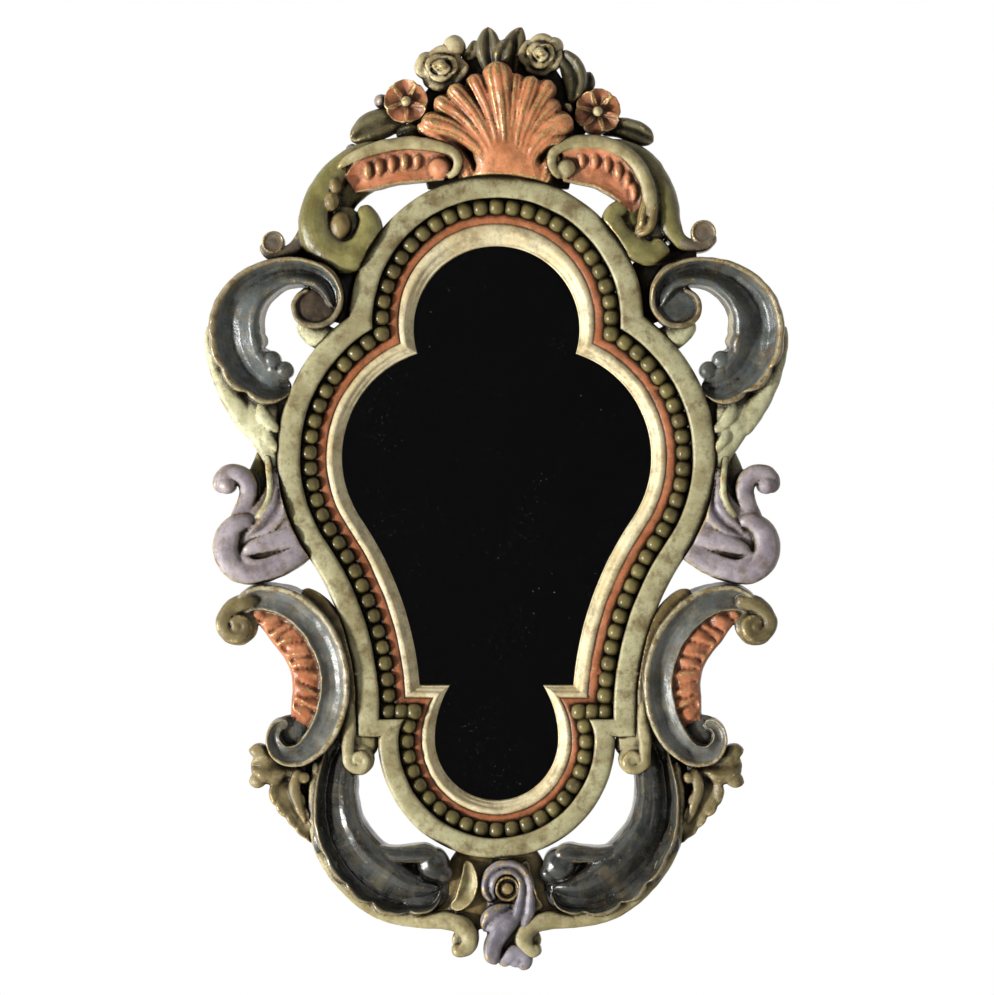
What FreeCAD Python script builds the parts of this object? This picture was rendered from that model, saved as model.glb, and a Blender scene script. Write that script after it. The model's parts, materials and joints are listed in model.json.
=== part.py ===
import FreeCAD, Part
import math
import os
from FreeCAD import Vector

# Florentine wall mirror. Millimetres: +Z up, the front faces -Y, the wall is the plane y = 0,
# x = 0 is the axis of symmetry and z = 0 is where the hook bears inside the hanging ring.
doc = FreeCAD.newDocument("florentine_mirror")
sheet = doc.addObject("Spreadsheet::Sheet", "Sizes")
SIZES = [
    ("top_lobe_radius", 94.0, "outer edge of the top lobe"),
    ("body_radius", 110.5, "outer edge of the wide part"),
    ("body_x", 29.4, "centre of the wide part's arc, from the axis"),
    ("body_drop", 86.0, "top lobe's centre down to the wide part's centre"),
    ("waist_half", 89.4, "half width of the waist under the flank"),
    ("flank_radius", 180.0, "hollow flank between the wide part and the waist"),
    ("step_drop", 14.8, "end of the flank down to the step"),
    ("step_rise", 0.8, "rise of the step for each millimetre of inset"),
    ("bottom_lobe_radius", 75.5, "outer edge of the bottom lobe"),
    ("bottom_lobe_drop", 1.5, "step down to the bottom lobe's centre"),
    ("bottom_lobe_share", 0.88, "narrowing of the bottom lobe for each millimetre of inset"),
    ("mouth_pinch", 0.28, "closing in of the bottom lobe's mouth for each millimetre of height"),
    ("crown_drop", 16.0, "hook point down to the top of the ring"),
    ("frame_depth", 24.0, "wall to the front of the flat band"),
    ("band_width", 13.1, "flat painted band"),
    ("channel_width", 13.6, "hollow that holds the beads"),
    ("fillet_width", 4.3, "red fillet inside the beads"),
    ("channel_front", 15.0, "wall to the floor of the bead channel"),
    ("fillet_front", 17.0, "wall to the front of the red fillet"),
    ("rabbet_step", 4.0, "rabbet beyond the opening"),
    ("rabbet_play", 0.5, "play of glass, board and liner in the rabbet"),
    ("liner_play", 0.2, "play of the liner in the opening"),
    ("liner_width", 9.3, "liner from the fillet to the sight edge"),
    ("liner_front", 16.4, "wall to the liner's outer rim"),
    ("liner_rim", 2.0, "flat rim of the liner"),
    ("liner_lip", 2.4, "thickness of the liner at the sight edge"),
    ("liner_lip_flat", 0.6, "flat top of the liner at the sight edge"),
    ("liner_flange", 2.5, "thickness of the liner's flange"),
    ("sight_drop", 4.0, "top of the sight edge set lower than the ring's lobe"),
    ("glass_thick", 3.0, "mirror glass"),
    ("board_thick", 2.5, "backing board"),
    ("pocket_depth", 3.0, "button pockets, from the wall plane to the board's back"),
    ("pocket_radius", 12.8, "round pocket that a turn button sweeps"),
    ("pivot_offset", 6.0, "turn button's screw from the rabbet"),
    ("button_thick", 1.0, "turn button plate"),
    ("button_head", 4.5, "radius of the button round its screw"),
    ("button_tip", 3.0, "radius of the button's tip"),
    ("button_reach", 9.0, "screw to the centre of the tip"),
    ("screw_radius", 1.3, "shank of the small screws"),
    ("screw_head", 2.6, "radius of a screw head"),
    ("screw_head_thick", 1.1, "height of a screw head"),
    ("screw_length", 8.0, "shank in the wood"),
    ("running_play", 0.07, "radial play on a pin"),
    ("bead_radius", 4.7, "bead across the channel"),
    ("bead_height", 6.0, "bead over the channel's floor"),
    ("bead_pitch", 10.4, "bead to bead"),
    ("bead_inset", 19.4, "outer edge to the middle of the beads"),
    ("joint_drop", 136.0, "top of the ring down to the shoulder joints"),
    ("lower_joint_rise", 26.0, "end of the flank up to the lower joints"),
    ("dowel_radius", 3.0, "dowels in the joints of the ring"),
    ("dowel_length", 30.0, "dowel"),
    ("dowel_inset", 12.0, "outer edge to the dowel's axis"),
    ("dowel_back", 7.5, "wall to the dowel's axis"),
    ("ring_wire", 1.05, "radius of the hanging ring's wire"),
    ("ring_half", 8.0, "half width of the hanging ring"),
    ("ring_leg", 6.0, "straight side of the hanging ring"),
    ("strap_width", 11.0, "hanger strap"),
    ("strap_length", 21.0, "hanger strap below the ring's bar"),
    ("strap_thick", 1.2, "hanger strap plate"),
    ("knuckle_radius", 2.15, "rolled knuckle of the strap"),
    ("mortise_depth", 4.6, "recess of the hanger in the frame's back"),
    ("mortise_play", 0.5, "strap to the wall of its recess"),
    ("carving_back", 6.0, "wall to the back of the carved border"),
    ("ground_back", 8.0, "wall to the back of the crest's ground"),
    ("ground_front", 18.0, "wall to the front of the crest's ground"),
    ("scroll_front", 31.0, "wall to the rims of the large scrolls"),
    ("scroll_hollow", 25.0, "wall to the bottom of their gutters"),
    ("leaf_front", 22.0, "wall to the crown of the flat leaves"),
    ("leaf_edge", 16.0, "wall to the edge of the flat leaves"),
    ("shell_front", 38.0, "wall to the front of the shell"),
    ("cutter_play", 5.0, "how far a cutter stands out of what it cuts"),
]
for row, (alias, value, note) in enumerate(SIZES, 1):
    sheet.set(f"A{row}", note)
    sheet.set(f"B{row}", str(value))
    sheet.setAlias(f"B{row}", alias)
doc.recompute()


def size(alias):
    return float(sheet.get(alias))


# Centres and anchor points of the ring's outline, worked out from the sheet.
top_z = -size("crown_drop") - size("top_lobe_radius")
body_x = size("body_x")
body_z = top_z - size("body_drop")
flank_x = size("waist_half") + size("flank_radius")
flank_z = body_z - math.sqrt((size("body_radius") + size("flank_radius")) ** 2 - (flank_x - body_x) ** 2)
step_z = flank_z - size("step_drop")
lobe_z = step_z - size("bottom_lobe_drop")
FILLET_INSET = size("band_width") + size("channel_width")
OPENING_INSET = FILLET_INSET + size("fillet_width")
RABBET_INSET = OPENING_INSET - size("rabbet_step")
SIGHT_INSET = OPENING_INSET + size("liner_width")
PIVOT_INSET = RABBET_INSET - size("pivot_offset")


def notch(inset, drop=0.0):
    """Right-hand corner where the top lobe meets the wide part."""
    top_r = size("top_lobe_radius") - inset
    body_r = size("body_radius") - inset
    dx = body_x
    dz = body_z - (top_z - drop)
    gap = math.hypot(dx, dz)
    along = (top_r ** 2 - body_r ** 2 + gap ** 2) / (2 * gap)
    across = math.sqrt(top_r ** 2 - along ** 2)
    return (along * dx - across * dz) / gap, top_z - drop + (along * dz + across * dx) / gap


def half_outline(inset, drop=0.0):
    """Right half of the ring's outline, top to bottom: (kind, data) with points as (x, z)."""
    top_c = (0.0, top_z - drop)
    top_r = size("top_lobe_radius") - inset
    body_r = size("body_radius") - inset
    flank_r = size("flank_radius") + inset
    corner = notch(inset, drop)
    share = body_r / (size("body_radius") + size("flank_radius"))
    bend = (body_x + (flank_x - body_x) * share, body_z + (flank_z - body_z) * share)
    ledge_z = step_z + size("step_rise") * inset
    end_z = max(flank_z, ledge_z)
    end = (flank_x - math.sqrt(flank_r ** 2 - (end_z - flank_z) ** 2), end_z)
    side_x = size("bottom_lobe_radius") - size("bottom_lobe_share") * inset
    rise = ledge_z - lobe_z
    mouth_x = side_x - size("mouth_pinch") * rise
    bulge = rise * (1 + size("mouth_pinch") ** 2) / (2 * size("mouth_pinch"))
    pieces = [
        ("arc", (0.0, top_c[1] + top_r), corner, top_c),
        ("arc", corner, bend, (body_x, body_z)),
        ("arc", bend, end, (flank_x, flank_z)),
    ]
    if end_z > ledge_z + 0.01:
        pieces.append(("line", end, (end[0], ledge_z)))
    ledge = (pieces[-1][2][0], ledge_z)
    pieces.append(("line", ledge, (mouth_x, ledge_z)))
    pieces.append(("arc", (mouth_x, ledge_z), (side_x, lobe_z), (side_x - bulge, lobe_z)))
    pieces.append(("arc", (side_x, lobe_z), (0.0, lobe_z - side_x), (0.0, lobe_z)))
    return pieces


def middle_of(start, end, centre):
    """Point halfway along the shorter arc from start to end."""
    radius = math.hypot(start[0] - centre[0], start[1] - centre[1])
    x = start[0] + end[0] - 2 * centre[0]
    z = start[1] + end[1] - 2 * centre[1]
    length = math.hypot(x, z)
    return centre[0] + radius * x / length, centre[1] + radius * z / length


def outline(inset, drop=0.0):
    """Whole closed outline as (start, middle or None, end) pieces."""
    right = []
    for piece in half_outline(inset, drop):
        mid = middle_of(*piece[1:]) if piece[0] == "arc" else None
        right.append((piece[1], mid, piece[2]))
    left = []
    for start, mid, end in reversed(right):
        mirrored = (-mid[0], mid[1]) if mid else None
        left.append(((-end[0], end[1]), mirrored, (-start[0], start[1])))
    return right + left


def curve(piece):
    start, mid, end = [Vector(p[0], p[1], 0) if p else None for p in piece]
    return Part.Arc(start, mid, end) if mid else Part.LineSegment(start, end)


FACING = FreeCAD.Rotation(Vector(1, 0, 0), 90)


def sketch_of(name, pieces, back):
    """Sketch in a plane parallel to the wall; back is an expression for its distance from the wall."""
    sketch = doc.addObject("Sketcher::SketchObject", name)
    sketch.Placement = FreeCAD.Placement(Vector(0, 0, 0), FACING)
    sketch.setExpression("Placement.Base.y", f"-({back})")
    for piece in pieces:
        sketch.addGeometry(curve(piece), False)
    return sketch


def slab(name, pieces, back, front):
    """Sketch pulled from back to front, both expressions for distances from the wall."""
    pull = doc.addObject("Part::Extrusion", name)
    pull.Base = sketch_of(name + "_outline", pieces, back)
    pull.DirMode = "Normal"
    pull.Solid = True
    pull.setExpression("LengthFwd", f"({front}) - ({back})")
    return pull


def cut(name, base, tools):
    """Base with every tool taken away."""
    tool = tools[0]
    if len(tools) > 1:
        tool = doc.addObject("Part::MultiFuse", name + "_tools")
        tool.Shapes = tools
    result = doc.addObject("Part::Cut", name)
    result.Base = base
    result.Tool = tool
    return result


def cylinder(name, radius, height, x, back, z, along=FACING):
    """Cylinder of bound radius and height that starts at (x, z), back from the wall, and points forward."""
    round_bar = doc.addObject("Part::Cylinder", name)
    round_bar.setExpression("Radius", radius)
    round_bar.setExpression("Height", height)
    round_bar.Placement = FreeCAD.Placement(Vector(x, 0, z), along)
    round_bar.setExpression("Placement.Base.y", f"-({back})")
    return round_bar


nodes = []


def node(thing, label):
    """Marks an object as a sub-part under its own label."""
    thing.Label = label
    nodes.append(thing)
    return thing


# Moulding ring: one outline pulled forward, then the bead channel, the opening and the rabbet cut into it.
beyond = "Sizes.frame_depth + Sizes.cutter_play"
behind = "-Sizes.cutter_play"
blank = slab("ring_blank", outline(0), "0", "Sizes.frame_depth")
hollow = slab("hollow", outline(size("band_width")), "Sizes.fillet_front", beyond)
channel_outer = slab("channel_outer", outline(size("band_width")), "Sizes.channel_front", "Sizes.fillet_front")
channel_inner = slab("channel_inner", outline(FILLET_INSET), "Sizes.channel_front", "Sizes.fillet_front")
channel = cut("channel", channel_outer, [channel_inner])
opening = slab("opening", outline(OPENING_INSET), behind, beyond)
seat = "Sizes.pocket_depth + Sizes.board_thick + Sizes.glass_thick + Sizes.liner_flange"
rabbet = slab("rabbet", outline(RABBET_INSET), behind, seat)

# Turn buttons: six pivots on the ring's back, two each round the top lobe, the wide part and the bottom lobe.
PIVOTS = []
for angle in (38.0, 142.0):
    reach = size("top_lobe_radius") - PIVOT_INSET
    a = math.radians(angle)
    PIVOTS.append((reach * math.cos(a), top_z + reach * math.sin(a), angle + 180))
for side, turn in ((1, 180.0), (-1, 0.0)):
    PIVOTS.append((side * (body_x + size("body_radius") - PIVOT_INSET), body_z, turn))
for angle in (-40.0, -140.0):
    reach = size("bottom_lobe_radius") - size("bottom_lobe_share") * RABBET_INSET + size("pivot_offset")
    a = math.radians(angle)
    PIVOTS.append((reach * math.cos(a), lobe_z + reach * math.sin(a), angle + 180))
pockets = []
pilots = []
for count, (x, z, turn) in enumerate(PIVOTS, 1):
    pockets.append(cylinder(f"pocket_{count}", "Sizes.pocket_radius", "Sizes.pocket_depth + Sizes.cutter_play", x,
                            behind, z))
    pilots.append(cylinder(f"pilot_{count}", "Sizes.screw_radius", "Sizes.screw_length + 1", x,
                           "Sizes.pocket_depth - 1", z))

# Recess for the hanger at the top of the ring, open upwards, with the pilot holes of its two screws.
bar_z = size("ring_wire") - size("ring_leg") - size("ring_half")
STRAP_SCREWS = [bar_z - size("strap_length") * share for share in (0.38, 0.78)]
mortise = doc.addObject("Part::Box", "mortise")
mortise.setExpression("Length", "Sizes.strap_width + 2 * Sizes.mortise_play")
mortise.setExpression("Width", "Sizes.mortise_depth + Sizes.cutter_play")
mortise.setExpression("Height", "Sizes.strap_length + Sizes.mortise_play + Sizes.crown_drop")
mortise.setExpression("Placement.Base.x", "-Sizes.strap_width / 2 - Sizes.mortise_play")
mortise.setExpression("Placement.Base.y", "-Sizes.mortise_depth")
mortise.setExpression("Placement.Base.z", "Sizes.ring_wire - Sizes.ring_leg - Sizes.ring_half"
                      " - Sizes.strap_length - Sizes.mortise_play")
strap_pilots = [cylinder(f"strap_pilot_{count}", "Sizes.screw_radius", "Sizes.screw_length + 1", 0.0,
                         "Sizes.mortise_depth - 1", z) for count, z in enumerate(STRAP_SCREWS, 1)]

# Dowels across the four butt joints of the ring, each in the middle of the wood behind the band.
joint_z = -size("crown_drop") - size("joint_drop")
lower_z = flank_z + size("lower_joint_rise")


def edge_x(z, inset):
    """Where an inset outline crosses a height, on the right, in the wide part or the flank."""
    bend_z = half_outline(inset)[1][2][1]
    if z > bend_z:
        return body_x + math.sqrt((size("body_radius") - inset) ** 2 - (z - body_z) ** 2)
    return flank_x - math.sqrt((size("flank_radius") + inset) ** 2 - (z - flank_z) ** 2)


UPRIGHT = FreeCAD.Rotation()
dowel_bars = []
for side in (1, -1):
    for name, z in (("upper", joint_z), ("lower", lower_z)):
        bar = cylinder(f"dowel_{name}_{side + 1}", "Sizes.dowel_radius", "Sizes.dowel_length",
                       side * edge_x(z, size("dowel_inset")), "Sizes.dowel_back", z, UPRIGHT)
        bar.Placement.Base.z = z - size("dowel_length") / 2
        dowel_bars.append(bar)
dowels = doc.addObject("Part::Compound", "dowels")
dowels.Links = dowel_bars
node(dowels, "frame_dowels")

ring = cut("ring", blank, [hollow, channel, opening, rabbet] + pockets + pilots + [mortise]
           + strap_pilots + dowel_bars)


def segment(label, x, z, width, height):
    """Part of the ring inside a box that starts at (x, z)."""
    box = doc.addObject("Part::Box", label + "_box")
    box.Length = width
    box.Height = height
    box.setExpression("Width", "Sizes.frame_depth + 2 * Sizes.cutter_play")
    box.Placement.Base = Vector(x, -size("frame_depth") - size("cutter_play"), z)
    piece = doc.addObject("Part::Common", label + "_piece")
    piece.Base = ring
    piece.Tool = box
    return node(piece, label)


FAR = 400.0
segment("frame_top", -FAR, joint_z, 2 * FAR, FAR)
segment("frame_right", 0.0, lower_z, FAR, joint_z - lower_z)
segment("frame_left", -FAR, lower_z, FAR, joint_z - lower_z)
segment("frame_bottom", -FAR, lower_z - FAR, 2 * FAR, FAR)

# Beads: half ellipsoids on the channel's floor, one at each corner and equal steps between the corners.
bead_pieces = half_outline(size("bead_inset"))


def length_of(piece):
    if piece[0] == "line":
        return math.dist(piece[1], piece[2])
    start, end, centre = piece[1:]
    swing = abs(math.atan2(start[1] - centre[1], start[0] - centre[0])
                - math.atan2(end[1] - centre[1], end[0] - centre[0]))
    return min(swing, 2 * math.pi - swing) * math.dist(start, centre)


def point_on(piece, share):
    """Point at a share of a piece's length."""
    start, end = piece[1], piece[2]
    if piece[0] == "line":
        return start[0] + (end[0] - start[0]) * share, start[1] + (end[1] - start[1]) * share
    centre = piece[3]
    first = math.atan2(start[1] - centre[1], start[0] - centre[0])
    swing = math.atan2(end[1] - centre[1], end[0] - centre[0]) - first
    swing = (swing + math.pi) % (2 * math.pi) - math.pi
    radius = math.dist(start, centre)
    angle = first + swing * share
    return centre[0] + radius * math.cos(angle), centre[1] + radius * math.sin(angle)


def bead_places(run):
    """Equal steps along a run of pieces, both ends included."""
    lengths = [length_of(piece) for piece in run]
    steps = max(1, int(sum(lengths) / size("bead_pitch")))
    places = []
    for step in range(steps + 1):
        rest = sum(lengths) * step / steps
        for piece, length in zip(run, lengths):
            if rest <= length + 1e-6:
                places.append(point_on(piece, rest / length))
                break
            rest -= length
    return places


places = []
for run in (bead_pieces[:1], bead_pieces[1:-3], bead_pieces[-3:-2], bead_pieces[-2:]):
    places += bead_places(run)
beads = []
for x, z in places:
    for side in (1, -1):
        new = (side * x, z)
        if all(math.dist(new, old) > 0.95 * size("bead_pitch") for old in beads):
            beads.append(new)
bead_domes = []
for count, (x, z) in enumerate(beads, 1):
    dome = doc.addObject("Part::Ellipsoid", f"bead_{count}")
    dome.setExpression("Radius1", "Sizes.bead_height")
    dome.setExpression("Radius2", "Sizes.bead_radius")
    dome.setExpression("Radius3", "Sizes.bead_radius")
    dome.Angle1 = 0
    dome.Placement = FreeCAD.Placement(Vector(x, 0, z), FACING)
    dome.setExpression("Placement.Base.y", "-Sizes.channel_front")
    bead_domes.append(dome)
bead_row = doc.addObject("Part::Compound", "bead_group")
bead_row.Links = bead_domes
node(bead_row, "bead_row")

# Sight liner: flange in the rabbet, rim against the red fillet, and a slope down to the sight edge.
glass_front = "Sizes.pocket_depth + Sizes.board_thick + Sizes.glass_thick"
flange_inset = RABBET_INSET + size("rabbet_play")
liner_inset = OPENING_INSET + size("liner_play")
flange = slab("flange", outline(flange_inset), glass_front, seat)
rim = slab("liner_rim_block", outline(liner_inset), glass_front, "Sizes.liner_front")
liner_block = doc.addObject("Part::Fuse", "liner_block")
liner_block.Base = flange
liner_block.Tool = rim
sight = slab("sight", outline(SIGHT_INSET, size("sight_drop")), "0", beyond)


def wire_of(inset, drop, front):
    edges = [curve(piece).toShape() for piece in outline(inset, drop)]
    wire = Part.Wire(edges)
    wire.Placement = FreeCAD.Placement(Vector(0, -front, 0), FACING)
    return wire


HAIR = 0.01
lip_front = size("pocket_depth") + size("board_thick") + size("glass_thick") + size("liner_lip")
slope = doc.addObject("Part::Feature", "liner_slope")
slope.Shape = Part.makeLoft([
    wire_of(liner_inset + size("liner_rim"), size("sight_drop") / 4, size("liner_front") + HAIR),
    wire_of(SIGHT_INSET - size("liner_lip_flat"), size("sight_drop"), lip_front)], True, True)
node(cut("liner", liner_block, [slope, sight]), "sight_liner")

# Glass and backing board lie on each other behind the liner's flange.
board_back = "Sizes.pocket_depth"
glass_back = "Sizes.pocket_depth + Sizes.board_thick"
node(slab("glass", outline(flange_inset), glass_back, glass_front), "mirror_glass")
node(slab("board", outline(flange_inset), board_back, glass_back), "back_board")


# Turn buttons: brass plates on round-headed screws, each free to turn in its own round pocket.
def plane_of(body, role):
    return next(p for p in body.Origin.OriginFeatures if p.Role == role)


def turn_button(label, x, z, turn):
    body = doc.addObject("PartDesign::Body", label + "_body")
    shape = body.newObject("Sketcher::SketchObject", label + "_shape")
    shape.AttachmentSupport = [(plane_of(body, "XY_Plane"), "")]
    shape.MapMode = "FlatFace"
    head = size("button_head")
    tip = size("button_tip")
    reach = size("button_reach")
    lean = math.acos((head - tip) / reach)
    heel = [Vector(r * math.cos(lean) + far, s * r * math.sin(lean), 0)
            for r, far, s in ((head, 0, 1), (head, 0, -1), (tip, reach, -1), (tip, reach, 1))]
    shape.addGeometry(Part.Arc(heel[0], Vector(-head, 0, 0), heel[1]), False)
    shape.addGeometry(Part.LineSegment(heel[1], heel[2]), False)
    shape.addGeometry(Part.Arc(heel[2], Vector(reach + tip, 0, 0), heel[3]), False)
    shape.addGeometry(Part.LineSegment(heel[3], heel[0]), False)
    bore = size("screw_radius") + size("running_play")
    shape.addGeometry(Part.Circle(Vector(0, 0, 0), Vector(0, 0, 1), bore), False)
    plate = body.newObject("PartDesign::Pad", label + "_plate")
    plate.Profile = shape
    plate.setExpression("Length", "Sizes.button_thick")
    body.Tip = plate
    spin = FreeCAD.Rotation(Vector(0, 0, 1), turn)
    body.Placement = FreeCAD.Placement(Vector(x, 0, z), FACING.multiply(spin))
    body.setExpression("Placement.Base.y", "-Sizes.pocket_depth + Sizes.running_play + Sizes.button_thick")
    return node(body, label)


screw_parts = []
for count, (x, z, turn) in enumerate(PIVOTS, 1):
    turn_button(f"turn_button_{count}", x, z, turn)
    under_head = "Sizes.pocket_depth - Sizes.button_thick - 2 * Sizes.running_play"
    screw = doc.addObject("Part::Fuse", f"button_screw_{count}")
    screw.Base = cylinder(f"button_shank_{count}", "Sizes.screw_radius",
                          "Sizes.screw_length + Sizes.button_thick + 2 * Sizes.running_play", x, under_head, z)
    screw.Tool = cylinder(f"button_screw_head_{count}", "Sizes.screw_head", "Sizes.screw_head_thick",
                          x, f"{under_head} - Sizes.screw_head_thick", z)
    screw_parts.append(screw)
button_screws = doc.addObject("Part::Compound", "button_screw_group")
button_screws.Links = screw_parts
node(button_screws, "button_screws")

# Hanger: a strap with a rolled knuckle in the recess, two screws, and a ring of wire that swings in the knuckle.
ACROSS = FreeCAD.Rotation(Vector(0, 1, 0), 90)
bar_back = "Sizes.mortise_depth - Sizes.knuckle_radius"
strap_plate = doc.addObject("Part::Box", "strap_plate")
strap_plate.setExpression("Length", "Sizes.strap_width")
strap_plate.setExpression("Width", "Sizes.strap_thick")
strap_plate.setExpression("Height", "Sizes.strap_length")
strap_plate.setExpression("Placement.Base.x", "-Sizes.strap_width / 2")
strap_plate.setExpression("Placement.Base.y", "-Sizes.mortise_depth")
strap_plate.Placement.Base.z = bar_z - size("strap_length")


def across_bar(name, radius, length):
    """Round bar along X, centred on the hinge line of the hanger."""
    bar = cylinder(name, radius, length, 0.0, bar_back, bar_z, ACROSS)
    bar.setExpression("Placement.Base.x", f"-({length}) / 2")
    return bar


strap_solid = doc.addObject("Part::Fuse", "strap_solid")
strap_solid.Base = strap_plate
strap_solid.Tool = across_bar("knuckle", "Sizes.knuckle_radius", "Sizes.strap_width")
strap_holes = [cylinder(f"strap_hole_{count}", "Sizes.screw_radius + Sizes.running_play", "2 * Sizes.cutter_play",
                        0.0, behind, z) for count, z in enumerate(STRAP_SCREWS, 1)]
knuckle_bore = across_bar("knuckle_bore", "Sizes.ring_wire + Sizes.running_play",
                          "Sizes.strap_width + Sizes.cutter_play")
node(cut("strap", strap_solid, strap_holes + [knuckle_bore]), "hanger_strap")

strap_screws = []
for count, z in enumerate(STRAP_SCREWS, 1):
    plate_back = "Sizes.mortise_depth - Sizes.strap_thick"
    screw = doc.addObject("Part::Fuse", f"strap_screw_{count}")
    screw.Base = cylinder(f"strap_shank_{count}", "Sizes.screw_radius",
                          "Sizes.screw_length + Sizes.strap_thick", 0.0, plate_back, z)
    screw.Tool = cylinder(f"strap_screw_head_{count}", "Sizes.screw_head", "Sizes.screw_head_thick", 0.0,
                          f"{plate_back} - Sizes.screw_head_thick", z)
    strap_screws.append(screw)
hanger_screws = doc.addObject("Part::Compound", "strap_screw_group")
hanger_screws.Links = strap_screws
node(hanger_screws, "hanger_screws")

ring_bar = across_bar("ring_bar", "Sizes.ring_wire", "2 * Sizes.ring_half")
ring_parts = [ring_bar]
for name, side in (("right", 1), ("left", -1)):
    leg = cylinder(f"ring_leg_{name}", "Sizes.ring_wire", "Sizes.ring_leg", side * size("ring_half"),
                   bar_back, bar_z, UPRIGHT)
    elbow = doc.addObject("Part::Sphere", f"ring_elbow_{name}")
    elbow.setExpression("Radius", "Sizes.ring_wire")
    elbow.Placement.Base = Vector(side * size("ring_half"), 0, bar_z)
    elbow.setExpression("Placement.Base.y", f"-({bar_back})")
    ring_parts += [leg, elbow]
bow = doc.addObject("Part::Torus", "ring_bow")
bow.setExpression("Radius1", "Sizes.ring_half")
bow.setExpression("Radius2", "Sizes.ring_wire")
bow.Angle3 = 180
bow.Placement = FreeCAD.Placement(Vector(0, 0, bar_z + size("ring_leg")), FACING)
bow.setExpression("Placement.Base.y", f"-({bar_back})")
wire_ring = doc.addObject("Part::MultiFuse", "wire_ring")
wire_ring.Shapes = ring_parts + [bow]
node(wire_ring, "hanger_ring")
doc.recompute()

# Carved border. Each piece is drawn on the right as bands (x, z, half width) measured from an anchor on the ring,
# with round volutes and balls, then cut to the ring's edge and to its larger neighbours. The left is its mirror.
CROWN = (0.0, -size("crown_drop"))
SHOULDER = notch(0)
SIDE = (body_x + size("body_radius"), body_z)
FLANK = (size("waist_half"), flank_z)
BASE = (0.0, lobe_z - size("bottom_lobe_radius"))
CARVING_BACK = size("carving_back")


def band(anchor, stations, edge, middle, back=CARVING_BACK, rim=0.0):
    """Carved band lofted through its stations: rim gives flat edges, middle the gutter or the rounded back."""
    points = [Vector(anchor[0] + x, 0, anchor[1] + z) for x, z, half in stations]
    spine = Part.BSplineCurve()
    spine.interpolate(points)
    wires = []
    last = len(stations) - 1
    for step in range(2 * last + 1):
        low = min(step // 2, last)
        share = step % 2 / 2
        half = stations[low][2]
        at = spine.parameter(points[low])
        if share:
            half = (half + stations[low + 1][2]) / 2
            at = (at + spine.parameter(points[low + 1])) / 2
        place = spine.value(at)
        tangent = spine.tangent(at)[0]
        normal = Vector(-tangent.z, 0, tangent.x)

        def spot(across, front):
            return place + normal * across + Vector(0, -front, 0)

        inner = half * (1 - rim)
        corners = [spot(half, edge), spot(half, back), spot(-half, back), spot(-half, edge)]
        edges = [Part.makeLine(p, q) for p, q in zip(corners, corners[1:])]
        if rim:
            edges.append(Part.makeLine(corners[3], spot(-inner, edge)))
        edges.append(Part.Arc(spot(-inner, edge), spot(0, middle), spot(inner, edge)).toShape())
        if rim:
            edges.append(Part.makeLine(spot(inner, edge), corners[0]))
        wires.append(Part.Wire(edges))
    return Part.makeLoft(wires, True, False)


def disc(anchor, x, z, radius, front, back=CARVING_BACK):
    return Part.makeCylinder(radius, front - back, Vector(anchor[0] + x, -back, anchor[1] + z), Vector(0, -1, 0))


def ball(anchor, x, z, radius, middle):
    return Part.makeSphere(radius, Vector(anchor[0] + x, -middle, anchor[1] + z))


VOLUTE_STEPS = [(1.0, 3.0), (0.72, 1.5), (0.42, 0.0)]


def volute(anchor, x, z, radius, front, back=CARVING_BACK):
    """Round end of a scroll with a raised eye: each step has its share of the radius and lies behind the front."""
    steps = [disc(anchor, x, z, radius * share, front - behind_front, back) for share, behind_front in VOLUTE_STEPS]
    return steps[0].fuse(steps[1:])


ring_core = slab("ring_core", outline(0), behind, "Sizes.shell_front + Sizes.cutter_play")
doc.recompute()


def carved(label, solids, neighbours=(), mirrored=True):
    """Joins the solids, trims them to the ring and the named neighbours, and adds the mirrored twin."""
    shape = solids[0].fuse(solids[1:]) if len(solids) > 1 else solids[0]
    trims = [ring_core.Shape] + [thing.Shape for thing in nodes if thing.Label in neighbours]
    shape = shape.cut(trims)
    main = max(shape.Solids, key=lambda solid: solid.Volume)
    names = [label + "_right", label + "_left"] if mirrored else [label]
    piece = doc.addObject("Part::Feature", names[0] + "_carving")
    piece.Shape = main
    node(piece, names[0])
    if mirrored:
        twin = doc.addObject("Part::Mirroring", names[1] + "_carving")
        twin.Source = piece
        twin.Normal = Vector(1, 0, 0)
        node(twin, names[1])
    doc.recompute()


FRONT = size("scroll_front")
HOLLOW = size("scroll_hollow")
LEAF = size("leaf_front")
LEAF_EDGE = size("leaf_edge")

# Crest ground: the flat board behind the shell and the flowers, standing on the top of the ring.
GROUND = [(-44, -9), (-50, 16), (-60, 36), (-46, 54), (-36, 70), (-20, 80), (2, 84), (26, 80), (40, 70),
          (50, 54), (64, 38), (52, 16), (46, -9)]
edge_of_ground = Part.BSplineCurve()
edge_of_ground.interpolate([Vector(CROWN[0] + x, -size("ground_back"), CROWN[1] + z) for x, z in GROUND], True)
ground_face = Part.Face(Part.Wire([edge_of_ground.toShape()]))
ground = ground_face.extrude(Vector(0, size("ground_back") - size("ground_front"), 0))
carved("crest_ground", [ground], mirrored=False)

# Shell: two scalloped fans, the smaller in front, with a tapering groove between each pair of flutes.
SHELL_ROOT = (5.0, -4.0)
SHELL_TIPS = [(-46, 34), (-40, 49), (-30, 61), (-15, 69), (0, 75), (15, 69), (31, 62), (41, 50), (47, 34)]
SHELL_BASE = [(-27, -4), (37, -4)]
shell_root = Vector(CROWN[0] + SHELL_ROOT[0], 0, CROWN[1] + SHELL_ROOT[1])


def shell_spot(x, z, share, front):
    """Point on the line from the shell's root towards (x, z), at a share of its length."""
    away = Vector(CROWN[0] + x, 0, CROWN[1] + z) - shell_root
    return shell_root + away * share + Vector(0, -front, 0)


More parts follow.
